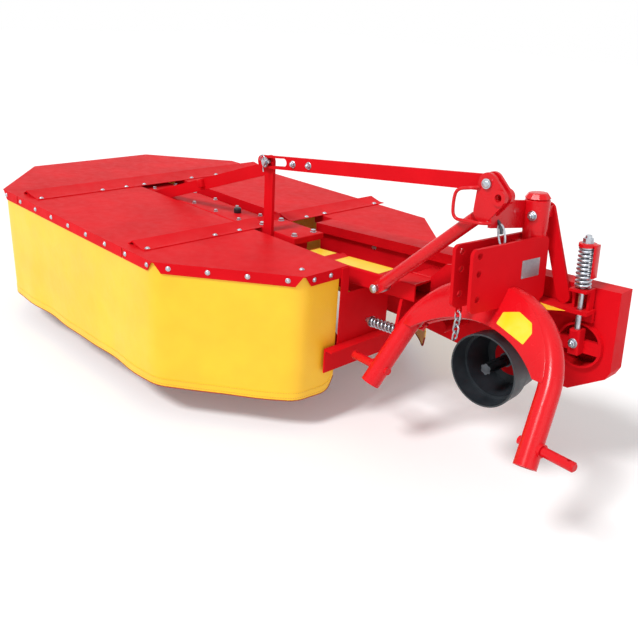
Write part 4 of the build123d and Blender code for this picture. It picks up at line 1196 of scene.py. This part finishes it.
@dataclass
class Canopy:
    """Plan of the canopy, its strips' long sides, bolts and filler plug, and the skirts' routes."""

    half_length: float = 945.0
    half_depth: float = 605.0
    outer_cut: Flat = (350.0, 300.0)
    front_inner_cut: Flat = (395.0, 315.0)
    rear_inner_cut: Flat = (245.0, 215.0)
    top: float = 580.0
    sheet: float = 3.0
    seams: Flat = (-460.0, 365.0)
    strip_rise: float = 16.0
    strip_ends: Flat = (-565.0, 640.0)
    apron_reach: Flat = (108.0, 78.0)
    apron_edge: float = 0.8
    flange: float = 26.0
    cover_gap: Flat = (-20.0, 100.0)
    lip_bolt_z: float = 562.0
    lip_end: float = -132.0
    # corner, next corner (8 is the end of the inner lip), number of bolts and margin at both ends
    lip_runs: tuple[tuple[int, int, int, float], ...] = (
        (0, 1, 9, 30.0), (1, 2, 4, 55.0), (2, 8, 2, 42.0), (4, 5, 9, 45.0),
        (3, 4, 3, 45.0), (5, 6, 4, 55.0), (6, 7, 5, 45.0), (7, 0, 4, 55.0))
    seam_rows: tuple[tuple[float, ...], ...] = (
        (-545.0, -270.0, -155.0, -65.0, 190.0, 330.0, 590.0), (-545.0, -262.0, -150.0, 190.0, 290.0, 590.0))
    corner_bolt: Flat = (885.0, -250.0)
    seam_bolt: DomeBolt = DomeBolt(7.2, 4.6, 9.5, 1.4)
    beam_top: float = 565.0
    slot_rows: Flat = (-26.0, 84.0)
    slot_start: float = -340.0
    slot_step: float = 152.0
    slot_count: int = 5
    slot_bolt: HexBolt = HexBolt(13.0, 6.0, 9.0, 1.6)
    plug_at: Flat = (180.0, 36.0)
    plug_r: float = 15.0
    plug_sides: int = 28
    plug_height: float = 18.0
    plug_step: float = 4.0
    plug_edge: float = 1.2
    canvas_gap: float = 1.2
    canvas_ends: Flat = (-128.0, 395.0)

    def corners(self) -> list[Flat]:
        """Corners of the plan, from the front outer one round by the hitch side.

        Returns:
            The corners.
        """
        length, depth = self.half_length, self.half_depth
        return [(-length + self.outer_cut[0], -depth), (length - self.front_inner_cut[0], -depth),
                (length, -depth + self.front_inner_cut[1]), (length, depth - self.rear_inner_cut[1]),
                (length - self.rear_inner_cut[0], depth), (-length + self.outer_cut[0], depth),
                (-length, depth - self.outer_cut[1]), (-length, -depth + self.outer_cut[1])]

    def lip_bolts(self) -> None:
        """Round-headed bolts that hold the canvas behind the lips."""
        corners = [Vector(corner) for corner in (*self.corners(), (self.half_length, self.lip_end))]
        seats = []
        for first, last, count, margin in self.lip_runs:
            run = corners[last] - corners[first]
            along = run.normalized()
            for i in range(count):
                spot = corners[first] + along * (margin + (run.length - 2 * margin) * i / (count - 1))
                seats.append(Seat((spot.x, spot.y, self.lip_bolt_z), (along.y, -along.x, 0.0)))
        fasten("canopy_lip_bolts", DomeBolt(), seats, Place.MOWER)

    def seam_bolts(self) -> None:
        """Bolts beside the folded strips, at one corner and along both sides of the slot."""
        seats = []
        for seam, reach, rows in zip(self.seams, self.apron_reach, self.seam_rows):
            for y in rows:
                seats.append(Seat((seam + reach - self.flange / 2, y, self.top + self.sheet), UP))
        seats.append(Seat((*self.corner_bolt, self.top), UP))
        fasten("canopy_seam_bolts", self.seam_bolt, seats, Place.MOWER)
        beam = []
        for row in self.slot_rows:
            for i in range(self.slot_count):
                beam.append(Seat((self.slot_start + self.slot_step * i, row, self.beam_top), UP))
        fasten("beam_top_bolts", self.slot_bolt, beam, Place.MOWER)

    def apron(self, name: str, side: int, ends: Flat) -> None:
        """Long side of a folded strip: a slope from the ridge down to a flange on the panel.

        Args:
            name: Name of the piece.
            side: Which seam its ridge runs along.
            ends: Front and rear end.
        """
        seam, slope = self.seams[side], self.apron_reach[side] - self.flange
        ridge = self.top + self.strip_rise
        apron = block(name, (seam, ends[0], ridge - self.sheet / 2),
                      (seam + slope, ends[1], ridge + self.sheet / 2))
        pick(apron, lambda centre, normal: normal.x > SQUARE_ON)
        bpy.ops.transform.translate(value=(0, 0, self.sheet / 2 - self.strip_rise))
        bpy.ops.mesh.extrude_region_move(TRANSFORM_OT_translate={"value": (self.flange, 0, 0)})
        leave_edit()
        break_edges(apron, self.apron_edge, 1)
        settle(smoothed(apron), Place.MOWER, RED_ENAMEL)

    def aprons(self) -> None:
        """Long sides of both strips; the inner one leaves out the gearbox cover."""
        front, rear = self.strip_ends
        self.apron("strip_side_outer", 0, self.strip_ends)
        self.apron("strip_side_inner_front", 1, (front, self.cover_gap[0]))
        self.apron("strip_side_inner_rear", 1, (self.cover_gap[1], rear))

    def filler_plug(self) -> None:
        """Black plug on the gear beam, between the two rows of bolts."""
        foot = (*self.plug_at, self.beam_top)
        plug = round_post("filler_plug", self.plug_sides, self.plug_r, foot, self.plug_height)
        crown(plug, self.plug_step, self.plug_step)
        crown(plug, self.plug_step, 0.0)
        break_edges(plug, self.plug_edge)
        settle(smoothed(plug), Place.MOWER, PLASTIC)

    def dress(self) -> None:
        """Add all the canopy's hardware."""
        self.aprons()
        self.lip_bolts()
        self.seam_bolts()
        self.filler_plug()

    def skirts(self) -> list[Skirt]:
        """Both skirts, on routes just inside the lips.

        Returns:
            The front and the rear skirt.
        """
        inset = 1.0 - (self.sheet + self.canvas_gap) / self.half_depth
        c = [(x * inset, y * inset) for x, y in self.corners()]
        front_end, rear_end = self.canvas_ends
        ends = []
        for low, high in ((c[6], c[5]), (c[3], c[4])):
            share = (rear_end - low[1]) / (high[1] - low[1])
            ends.append((low[0] + share * (high[0] - low[0]), rear_end))
        front = [ends[0], c[6], c[7], c[0], c[1], c[2], (c[2][0], front_end)]
        rear = [ends[1], c[4], c[5], ends[0]]
        return [Skirt("front_canvas", "skirt_front", "canopy_front_middle", front),
                Skirt("rear_canvas", "skirt_rear", "canopy_rear_middle", rear)]


@dataclass(frozen=True)
class Spot:
    """One step of the walk along a cloth."""

    base: Vector
    out: Vector
    along: float


@dataclass
class Skirt:
    """One canvas skirt, hung behind the canopy's lips, with its hem and bound edge."""

    name: str
    node: str
    panel: str
    route: list[Flat]
    top: float = 575.0
    bottom: float = 123.0
    thick: float = 2.4
    step: float = 18.0
    fine_step: float = 3.0
    # fine steps each way over which the cloth's direction is taken
    look: int = 2
    rows: int = 26
    round_over: float = 42.0
    end_corner: float = 55.0
    # the free edge's waves: height, wave lengths, their shares, shift, lean inwards and calm at the ends
    ripple: float = 7.0
    waves: Flat = (430.0, 265.0)
    wave_shares: Flat = (0.6, 0.4)
    wave_shift: float = 0.8
    lean: float = 0.35
    calm: float = 160.0
    calm_share: float = 0.3
    # the upper part that the lip holds flat, and how the waves grow below it
    held_share: float = 0.12
    growth: float = 1.3
    hem: float = 30.0
    hem_rows: int = 3
    hem_rise: float = 0.5
    hem_proud: float = 0.2
    hem_thick: float = 1.1
    tape_r: float = 3.2
    sharp_deg: float = 40.0

    def spots(self) -> list[Spot]:
        """Walk along the cloth with its corners rounded.

        Returns:
            The steps.
        """
        fine: list[Vector] = []
        for start, end in zip(self.route, self.route[1:]):
            first, last = Vector(start), Vector(end)
            count = max(2, round((last - first).length / self.fine_step))
            fine += [first.lerp(last, i / count) for i in range(count)]
        fine.append(Vector(self.route[-1]))
        final = len(fine) - 1
        reach = round(self.round_over / self.fine_step)
        soft = []
        for i in range(final + 1):
            span = min(reach, i, final - i)
            near = fine[i - span:i + span + 1]
            soft.append(sum(near, Vector((0.0, 0.0))) / len(near))
        walked = [0.0]
        for before, after in zip(soft, soft[1:]):
            walked.append(walked[-1] + (after - before).length)
        every = max(1, round(self.step / self.fine_step))
        spots = []
        for i in [*range(0, final, every), final]:
            ahead = (soft[min(i + self.look, final)] - soft[max(i - self.look, 0)]).normalized()
            spots.append(Spot(soft[i], Vector((ahead.y, -ahead.x)), walked[i]))
        return spots

    def sway(self, along: float, total: float) -> float:
        """How far the free edge stands out of the plane, in waves that die at the ends.

        Args:
            along: Distance along the cloth.
            total: Length of the cloth.

        Returns:
            Distance outwards.
        """
        wave = self.wave_shares[0] * math.sin(2 * math.pi * along / self.waves[0] + self.wave_shift)
        wave += self.wave_shares[1] * math.sin(2 * math.pi * along / self.waves[1])
        near_end = min(along, total - along) / self.calm
        return self.ripple * (wave - self.lean) * min(1.0, self.calm_share + near_end)

    def foot(self, along: float, total: float) -> float:
        """Height of the lower edge, which is cut round at both ends.

        Args:
            along: Distance along the cloth.
            total: Length of the cloth.

        Returns:
            The height.
        """
        rest = max(0.0, self.end_corner - min(along, total - along))
        return self.bottom + self.end_corner - math.sqrt(self.end_corner ** 2 - rest ** 2)

    def surface(self, spot: Spot, total: float, height: float, proud: float) -> Vector:
        """Point on the cloth's outer face or beside it.

        Args:
            spot: One step of the walk along the cloth.
            total: Length of the cloth.
            height: Height over the ground.
            proud: How far outside that face the point lies.

        Returns:
            The point.
        """
        drop = (self.top - height) / (self.top - self.bottom)
        move = self.sway(spot.along, total) * max(0.0, drop - self.held_share) ** self.growth
        return Vector((*(spot.base + spot.out * (move + proud)), height))

    def strip(self, name: str, rows: int, low: float, high: Optional[float], proud: float) -> Piece:
        """Sheet along the whole cloth between two heights.

        Args:
            name: Name of the piece.
            rows: Rows of faces.
            low: Height of its lower edge over that of the cloth.
            high: Height of its upper edge over the cloth's lower edge, or none for the cloth's top.
            proud: How far the sheet lies outside the cloth's own face.

        Returns:
            The sheet, with its map in metres along and up the cloth.
        """
        spots = self.spots()
        total = spots[-1].along
        columns = len(spots)
        clear_table()
        bpy.ops.mesh.primitive_grid_add(x_subdivisions=columns - 1, y_subdivisions=rows, size=1.0)
        sheet = added(name)
        chart = []
        for index, vertex in enumerate(sheet.data.vertices):
            spot = spots[index % columns]
            foot = self.foot(spot.along, total)
            under = foot + low
            over = self.top if high is None else foot + high
            height = under + (over - under) * (index // columns) / rows
            vertex.co = self.surface(spot, total, height, proud)
            chart.append((spot.along * MM, (height - foot) * MM))
        layer = sheet.data.uv_layers[0]
        layer.name = CLOTH_MAP
        for loop in sheet.data.loops:
            layer.data[loop.index].uv = chart[loop.vertex_index]
        if sheet.data.polygons[0].normal.to_2d().dot(spots[0].out) < 0:
            sheet.data.flip_normals()
        return sheet

    def build(self) -> None:
        """Make the cloth, its hem and its binding, in place of the CAD solid."""
        spots = self.spots()
        total = spots[-1].along
        cloth = self.strip(self.name, self.rows, 0.0, None, 0.0)
        finish_with(cloth, "SOLIDIFY", thickness=self.thick, offset=-1.0)
        settle(smoothed(cloth, self.sharp_deg), Place.MOWER, CANVAS)
        hem = self.strip(self.name + "_hem", self.hem_rows, self.hem_rise, self.hem, self.hem_proud)
        finish_with(hem, "SOLIDIFY", thickness=self.hem_thick, offset=1.0)
        settle(smoothed(hem, self.sharp_deg), Place.MOWER, CANVAS)
        edge = []
        for spot in spots:
            edge.append(tuple(self.surface(spot, total, self.foot(spot.along, total), -self.thick / 2)))
        tape = bent_wire(self.name + "_binding", edge, self.tape_r)
        settle(tape, Place.MOWER, BINDING)
        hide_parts(self.node)


@dataclass
class PostAndBrace:
    """Small hardware on the lift post, its brace and the lift bar."""

    bar_front: float = -80.0
    pin: Flat = (490.0, 842.0)
    clip_proud: float = 14.5
    clip_wire: float = 2.2
    # the clip's ring, from the pin's tip
    clip_ring: tuple[Point, ...] = (
        (-16.0, 0.0, 4.0), (-12.0, -2.0, 24.0), (4.0, -2.0, 27.0), (15.0, -2.0, 12.0), (10.0, -1.0, -6.0),
        (-2.0, 0.0, -22.0), (3.0, 0.0, -34.0))
    brace_deg: float = 19.4
    rest_low: Point = (63.0, -82.0, 663.0)
    rest_high: Point = (93.0, -66.0, 697.0)
    rest_round: float = 6.0
    rest_steps: int = 3
    rest_edge: float = 1.5
    # the bar's middle line on the level arm, from the post's pin
    bar_start: Flat = (519.2, 848.7)
    bar_slope: float = 0.0516
    bolt_runs: Flat = (145.0, 225.0)
    bolt: HexBolt = HexBolt(17.0, 7.0, 13.0, 2.0, 5.0, 4.0)

    def clip(self) -> None:
        """Ring of the linch pin that keeps the bar on the post's pin."""
        tip = Vector((self.pin[0], self.bar_front - self.clip_proud, self.pin[1]))
        ring = [tuple(tip + Vector(point)) for point in self.clip_ring]
        settle(bent_wire("post_pin_clip", ring, self.clip_wire), Place.MOWER, ZINC)

    def brace_rest(self) -> None:
        """Small welded rest on the brace's front."""
        rest = block("brace_rest", self.rest_low, self.rest_high)
        pick_top(rest)
        bpy.ops.mesh.bevel(offset=self.rest_round, segments=self.rest_steps, affect="EDGES")
        leave_edit()
        break_edges(rest, self.rest_edge)
        middle = Matrix.Translation((Vector(self.rest_low) + Vector(self.rest_high)) / 2)
        turn = Matrix.Rotation(-math.radians(self.brace_deg), 4, "Y")
        rest.data.transform(middle @ turn @ middle.inverted())
        settle(smoothed(rest), Place.MOWER, RED_ENAMEL)

    def bar_bolts(self) -> None:
        """Two bolts in the lift bar's front, past the end of its slot."""
        x, z = self.bar_start
        seats = [Seat((x + run, self.bar_front, z + run * self.bar_slope), FRONT) for run in self.bolt_runs]
        fasten("lift_bar_bolts", self.bolt, seats, Place.ARM)

    def dress(self) -> None:
        """Add the post's hardware."""
        self.clip()
        self.brace_rest()
        self.bar_bolts()


@dataclass
class Arm:
    """Hardware on the arm: labels, springs, bolts, caps, the catch, the handle and weld beads."""

    beam_top: float = 528.0
    # stickers on the beam: name, left end and length
    stickers: tuple[tuple[str, float, float], ...] = (
        ("arm_label_near", 652.0, 92.0), ("arm_label_far", 808.0, 218.0))
    sticker_front: float = -21.0
    sticker_width: float = 82.0
    sticker_lift: float = 0.15
    head_sticker: tuple[Flat, ...] = ((0.0, 0.0), (70.0, 0.0), (0.0, 62.0))
    head_sticker_at: Flat = (1590.0, 60.0)
    head_sticker_turn: float = 0.6
    head_sticker_corner: float = 3.0
    spring_foot: Point = (1667.0, 146.0, 592.0)
    spring_top: float = 720.0
    latch_foot: Point = (1010.0, -28.0, 355.0)
    tension_coil: CoilSpring = CoilSpring(20.0, 4.4, 128.0, 10)
    latch_coil: CoilSpring = CoilSpring(15.0, 3.6, 120.0, 8)
    sleeve_spots: tuple[Point, ...] = ((1524.0, 73.0, 792.0), (1667.0, 129.0, 425.0))
    sleeve_bolt: HexBolt = HexBolt(19.0, 8.0, 15.0, 2.5, 6.0, 6.0)
    guard_spots: tuple[Point, ...] = ((820.0, 182.0, 545.0), (1180.0, 162.0, 505.0), (1384.0, 163.0, 505.0))
    guard_bolt: HexBolt = HexBolt(13.0, 6.0, 10.0, 1.6)
    nut_spot: Point = (1667.0, 146.0, 727.0)
    nut: HexBolt = HexBolt(26.0, 11.0, 17.0, 2.0, 9.6, 8.0)
    pin_spots: tuple[Point, ...] = ((1069.0, -94.0, 501.0), (1475.0, -98.0, 898.0))
    pin_head: DomeBolt = DomeBolt(11.0, 5.0, 14.5, 2.0)
    # cap over the spring, from the spring's top
    cap_r: float = 25.5
    cap_sides: int = 32
    cap_drop: float = 4.0
    cap_height: float = 10.0
    cap_rim: float = 5.0
    cap_rise: float = 1.5
    # gauge strip beside the spring, from the spring's middle and top
    gauge_near: float = 26.2
    gauge_far: float = 33.2
    gauge_half: float = 13.0
    gauge_drop: float = 92.0
    gauge_rise: float = 6.0
    gauge_bend: float = 1.0
    gauge_tongue: float = 18.0
    gauge_edge: float = 1.0
    sleeve_top: Point = (1515.0, 110.0, 838.0)
    sleeve_cap_sides: int = 10
    sleeve_cap_radii: Flat = (39.0, 29.0)
    sleeve_cap_height: float = 14.0
    sleeve_cap_rim: float = 3.0
    sleeve_cap_rise: float = 2.0
    sleeve_cap_edge: float = 1.2
    sleeve_cap_sharp_deg: float = 20.0
    rod_line: tuple[Point, ...] = (
        (1360.0, -72.0, 735.0), (1440.0, -62.0, 782.0), (1482.0, -56.0, 800.0), (1506.0, -54.0, 782.0),
        (1508.0, -54.0, 756.0))
    rod_r: float = 5.0
    hook_line: tuple[Point, ...] = (
        (1492.0, -54.0, 780.0), (1506.0, -54.0, 786.0), (1518.0, -54.0, 768.0), (1524.0, -54.0, 732.0),
        (1514.0, -54.0, 720.0), (1504.0, -54.0, 730.0))
    hook_r: float = 3.2
    handle_line: tuple[Point, ...] = (
        (1452.0, -90.0, 886.0), (1440.0, -112.0, 884.0), (1388.0, -112.0, 876.0), (1379.0, -112.0, 838.0),
        (1381.0, -112.0, 788.0), (1432.0, -112.0, 790.0), (1484.0, -112.0, 790.0), (1492.0, -90.0, 790.0))
    handle_r: float = 5.0
    bead_z: float = 528.5
    bead_r: float = 3.5
    bead_runs: tuple[tuple[Flat, Flat], ...] = (
        ((1190.0, -30.0), (1190.0, 70.0)), ((1250.0, 48.0), (1405.0, 48.0)),
        ((1190.0, 70.5), (1100.0, 70.5)))

    def labels(self) -> None:
        """Blank stickers on the beam and on the head plate."""
        lift = self.beam_top + self.sticker_lift
        wide = self.sticker_width
        for name, left, length in self.stickers:
            cut = Label([(0, 0), (length, 0), (length, wide), (0, wide)])
            sticker = cut.model(name, Matrix.Translation((left, self.sticker_front, lift)))
            settle(sticker, Place.ARM, LABEL)
        turn = Matrix.Rotation(self.head_sticker_turn, 4, "Z")
        where = Matrix.Translation((*self.head_sticker_at, lift)) @ turn
        sticker = Label(self.head_sticker, self.head_sticker_corner).model("head_label", where)
        settle(sticker, Place.ARM, LABEL)

    def springs(self) -> None:
        """Belt tensioner's spring and the breakaway latch's spring, smooth in place of the CAD coils."""
        lying = Matrix.Translation(self.latch_foot) @ Matrix.Rotation(math.pi / 2, 4, "Y")
        upright = Matrix.Translation(self.spring_foot)
        for coil, name, where, node in ((self.tension_coil, "tensioner_coil", upright, "tensioner_spring"),
                                        (self.latch_coil, "latch_coil", lying, "latch_spring")):
            spring = coil.model(name)
            spring.data.transform(where)
            settle(spring, Place.ARM, ZINC)
            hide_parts(node)

    def bolts(self) -> None:
        """Bolts on the sleeve, clevis and guard, the tensioner's nut and the round heads of two pins."""
        for name, bolt, spots in (("sleeve_bolts", self.sleeve_bolt, self.sleeve_spots),
                                  ("guard_bolts", self.guard_bolt, self.guard_spots)):
            fasten(name, bolt, [Seat(spot, FRONT) for spot in spots], Place.ARM)
        fasten("tensioner_nut", self.nut, [Seat(self.nut_spot, UP)], Place.ARM)
        fasten("arm_pin_heads", self.pin_head, [Seat(spot, FRONT) for spot in self.pin_spots], Place.ARM)

    def tensioner(self) -> None:
        """Red cap over the spring, with the strip that shows how far it is pressed."""
        x, y, top = self.spring_foot[0], self.spring_foot[1], self.spring_top
        foot = (x, y, top - self.cap_drop)
        cap = round_post("spring_cap", self.cap_sides, self.cap_r, foot, self.cap_height)
        crown(cap, self.cap_rim, self.cap_rise)
        strip = block("gauge_strip", (x + self.gauge_near, y - self.gauge_half, top - self.gauge_drop),
                      (x + self.gauge_far, y + self.gauge_half, top + self.gauge_rise))
        bend = top - self.gauge_bend
        edit_all(strip)
        bpy.ops.mesh.bisect(plane_co=(x, y, bend), plane_no=UP)
        leave_edit()
        pick(strip, lambda centre, normal: normal.x < -SQUARE_ON and centre.z > bend)
        bpy.ops.mesh.extrude_region_move(TRANSFORM_OT_translate={"value": (-self.gauge_tongue, 0, 0)})
        leave_edit()
        break_edges(strip, self.gauge_edge)
        settle(smoothed(joined("spring_cap", [cap, strip])), Place.ARM, TUBE_ENAMEL)

    def sleeve_cap(self) -> None:
        """Cut-off pyramid that closes the upper sleeve."""
        x, y, z = self.sleeve_top
        low_r, high_r = self.sleeve_cap_radii
        clear_table()
        bpy.ops.mesh.primitive_cone_add(vertices=self.sleeve_cap_sides, radius1=low_r, radius2=high_r,
                                        depth=self.sleeve_cap_height,
                                        location=(x, y, z + self.sleeve_cap_height / 2))
        cap = added("sleeve_cap")
        crown(cap, self.sleeve_cap_rim, self.sleeve_cap_rise)
        break_edges(cap, self.sleeve_cap_edge)
        settle(smoothed(cap, self.sleeve_cap_sharp_deg), Place.ARM, TUBE_ENAMEL)

    def rods(self) -> None:
        """Dark bent rod with a spring hook beside the lugs, and the handle with its cold-bent corners."""
        settle(bent_wire("catch_rod", self.rod_line, self.rod_r), Place.ARM, FORGED)
        settle(bent_wire("catch_hook", self.hook_line, self.hook_r, closed=True), Place.ARM, ZINC)
        handle = bent_wire("handle_bent_rod", self.handle_line, self.handle_r)
        settle(handle, Place.ARM, TUBE_ENAMEL)
        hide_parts("handle_rod")

    def welds(self) -> None:
        """Beads where the tube, web and gusset meet the arm."""
        beads = []
        for start, end in self.bead_runs:
            beads.append(weld_run((*start, self.bead_z), (*end, self.bead_z), self.bead_r))
        settle(joined("arm_weld_beads", beads), Place.ARM, TUBE_ENAMEL)

    def dress(self) -> None:
        """Add the arm's hardware."""
        self.labels()
        self.springs()
        self.bolts()
        self.tensioner()
        self.sleeve_cap()
        self.rods()
        self.welds()


@dataclass
class Yoke:
    """Hardware on the hitch yoke: rating plate, face plate and label."""

    rating_x: float = 1555.0
    rating_span: Flat = (20.0, 96.0)
    rating_rise: Flat = (618.0, 672.0)
    rating_corner: float = 2.0
    rating_thick: float = 1.0
    rivet_inset: float = 5.0
    rivet: DomeBolt = DomeBolt(1.8, 1.4, 2.4, 0.4)
    lean_deg: float = 32.78
    arch_foot: Point = (1515.0, -201.0, 269.0)
    bend_height: float = 92.0
    plate_r: float = 284.0
    plate_back: float = 25.0
    plate_thick: float = 8.0
    plate_end: float = 158.0
    plate_edge: float = 1.2
    plate_steps: int = 36
    inside_r: float = 364.0
    inside_height: float = -114.0
    web_r: float = 240.0
    web_half: float = 6.0
    web_setback: float = 7.0
    sticker: tuple[Flat, ...] = (
        (56.0, 264.0), (169.0, 235.0), (180.0, 272.0), (165.0, 299.0), (112.0, 317.0), (61.0, 301.0))
    sticker_corner: float = 3.0
    sticker_lift: float = 0.15

    def arch_matrix(self, proud: float) -> Matrix:
        """Plane of the arch, with X across and Y up along it.

        Args:
            proud: How far in front of the tube's middle the plane lies.

        Returns:
            Way from that plane to the square yoke's frame.
        """
        stand = Matrix.Rotation(math.radians(90.0 - self.lean_deg), 4, "X")
        return Matrix.Translation(self.arch_foot) @ stand @ Matrix.Translation((0.0, 0.0, proud))

    def rating_plate(self) -> None:
        """Blank silver plate with four rivets on the headstock's right side."""
        side = Matrix(((0, 0, 1, self.rating_x), (1, 0, 0, 0), (0, 1, 0, 0), (0, 0, 0, 1)))
        (near, far), (low, high) = self.rating_span, self.rating_rise
        outline = [(near, low), (far, low), (far, high), (near, high)]
        plate = Label(outline, self.rating_corner, self.rating_thick).model("rating_plate", side)
        settle(plate, Place.YOKE, BRIGHT_PLATE)
        inset = self.rivet_inset
        face = self.rating_x + self.rating_thick
        seats = []
        for y in (near + inset, far - inset):
            for z in (low + inset, high - inset):
                seats.append(Seat((face, y, z), RIGHT))
        fasten("rating_plate_rivets", self.rivet, seats, Place.YOKE)

    def crescent(self, name: str, outer_r: float, setback: float, thick: float, back: float) -> Piece:
        """Plate between the arch's bend and a flatter arc below it, cut off level at both ends.

        Args:
            name: Name of the piece.
            outer_r: Radius of its upper edge round the bend's middle.
            setback: How far its lower edge and ends lie inside those of the face plate.
            thick: Thickness.
            back: How far in front of the tube's middle its back lies.

        Returns:
            The plate.
        """
        end = self.plate_end + setback
        arcs = ((self.inside_r + setback, self.inside_height), (outer_r, self.bend_height))
        clear_table()
        bpy.ops.mesh.primitive_grid_add(x_subdivisions=self.plate_steps, y_subdivisions=1, size=1.0)
        plate = added(name)
        columns = self.plate_steps + 1
        for index, vertex in enumerate(plate.data.vertices):
            radius, middle = arcs[index // columns]
            start = math.asin((end - middle) / radius)
            turn = math.pi - start - (math.pi - 2 * start) * (index % columns) / self.plate_steps
            vertex.co = (radius * math.cos(turn), middle + radius * math.sin(turn), 0.0)
        finish_with(plate, "SOLIDIFY", thickness=thick, offset=1.0)
        break_edges(plate, self.plate_edge)
        plate.data.transform(self.arch_matrix(back))
        return plate

    def face_plate(self) -> None:
        """Crescent plate welded over the arch's front, with the web behind it, in place of the plain web."""
        face = self.crescent("arch_face_plate", self.plate_r, 0.0, self.plate_thick, self.plate_back)
        web = self.crescent("arch_web", self.web_r, self.web_setback, 2 * self.web_half, -self.web_half)
        plate = settle(smoothed(joined("arch_face_plate", [face, web])), Place.YOKE, TUBE_ENAMEL)
        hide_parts("hitch_gussets")

    def label(self) -> None:
        """Blank six-sided sticker on the right half of the face plate."""
        lift = self.plate_back + self.plate_thick + self.sticker_lift
        sticker = Label(self.sticker, self.sticker_corner).model("gusset_label", self.arch_matrix(lift))
        settle(sticker, Place.YOKE, LABEL)

    def dress(self) -> None:
        """Add the yoke's hardware."""
        self.rating_plate()
        self.face_plate()
        self.label()


@dataclass
class GearCover:
    """Folded lid over the gearbox and the arm's hinge, with its bolts."""

    low: Point = (396.0, -53.0, 561.0)
    high: Point = (630.0, 93.0, 584.0)
    corner: float = 4.0
    corner_steps: int = 4
    spots: tuple[Flat, ...] = ((418.0, -30.0), (602.0, -30.0), (418.0, 66.0), (602.0, 66.0))
    bolt: HexBolt = HexBolt(17.0, 7.0, 12.0, 2.0)

    def lid(self) -> None:
        """Lid with rounded upper edges that reaches past the beam's end, in place of the plain block."""
        lid = block("gearbox_lid", self.low, self.high)
        pick_top(lid)
        bpy.ops.mesh.bevel(offset=self.corner, segments=self.corner_steps, affect="EDGES")
        leave_edit()
        settle(smoothed(lid), Place.MOWER, RED_ENAMEL)
        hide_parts("gearbox_cover")

    def dress(self) -> None:
        """Add the lid and its bolts."""
        self.lid()
        seats = [Seat((*spot, self.high[2]), UP) for spot in self.spots]
        fasten("gear_cover_bolts", self.bolt, seats, Place.MOWER)


def main() -> None:
    """Build the scene in order."""
    logging.basicConfig(level=logging.INFO)
    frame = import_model()
    Stage().build()
    CadNodes(frame["nodes"], frame["record"]).dress()
    canopy = Canopy()
    for skirt in canopy.skirts():
        skirt.build()
    canopy.dress()
    GearCover().dress()
    PostAndBrace().dress()
    Arm().dress()
    Yoke().dress()


if __name__ == "__main__":
    main()
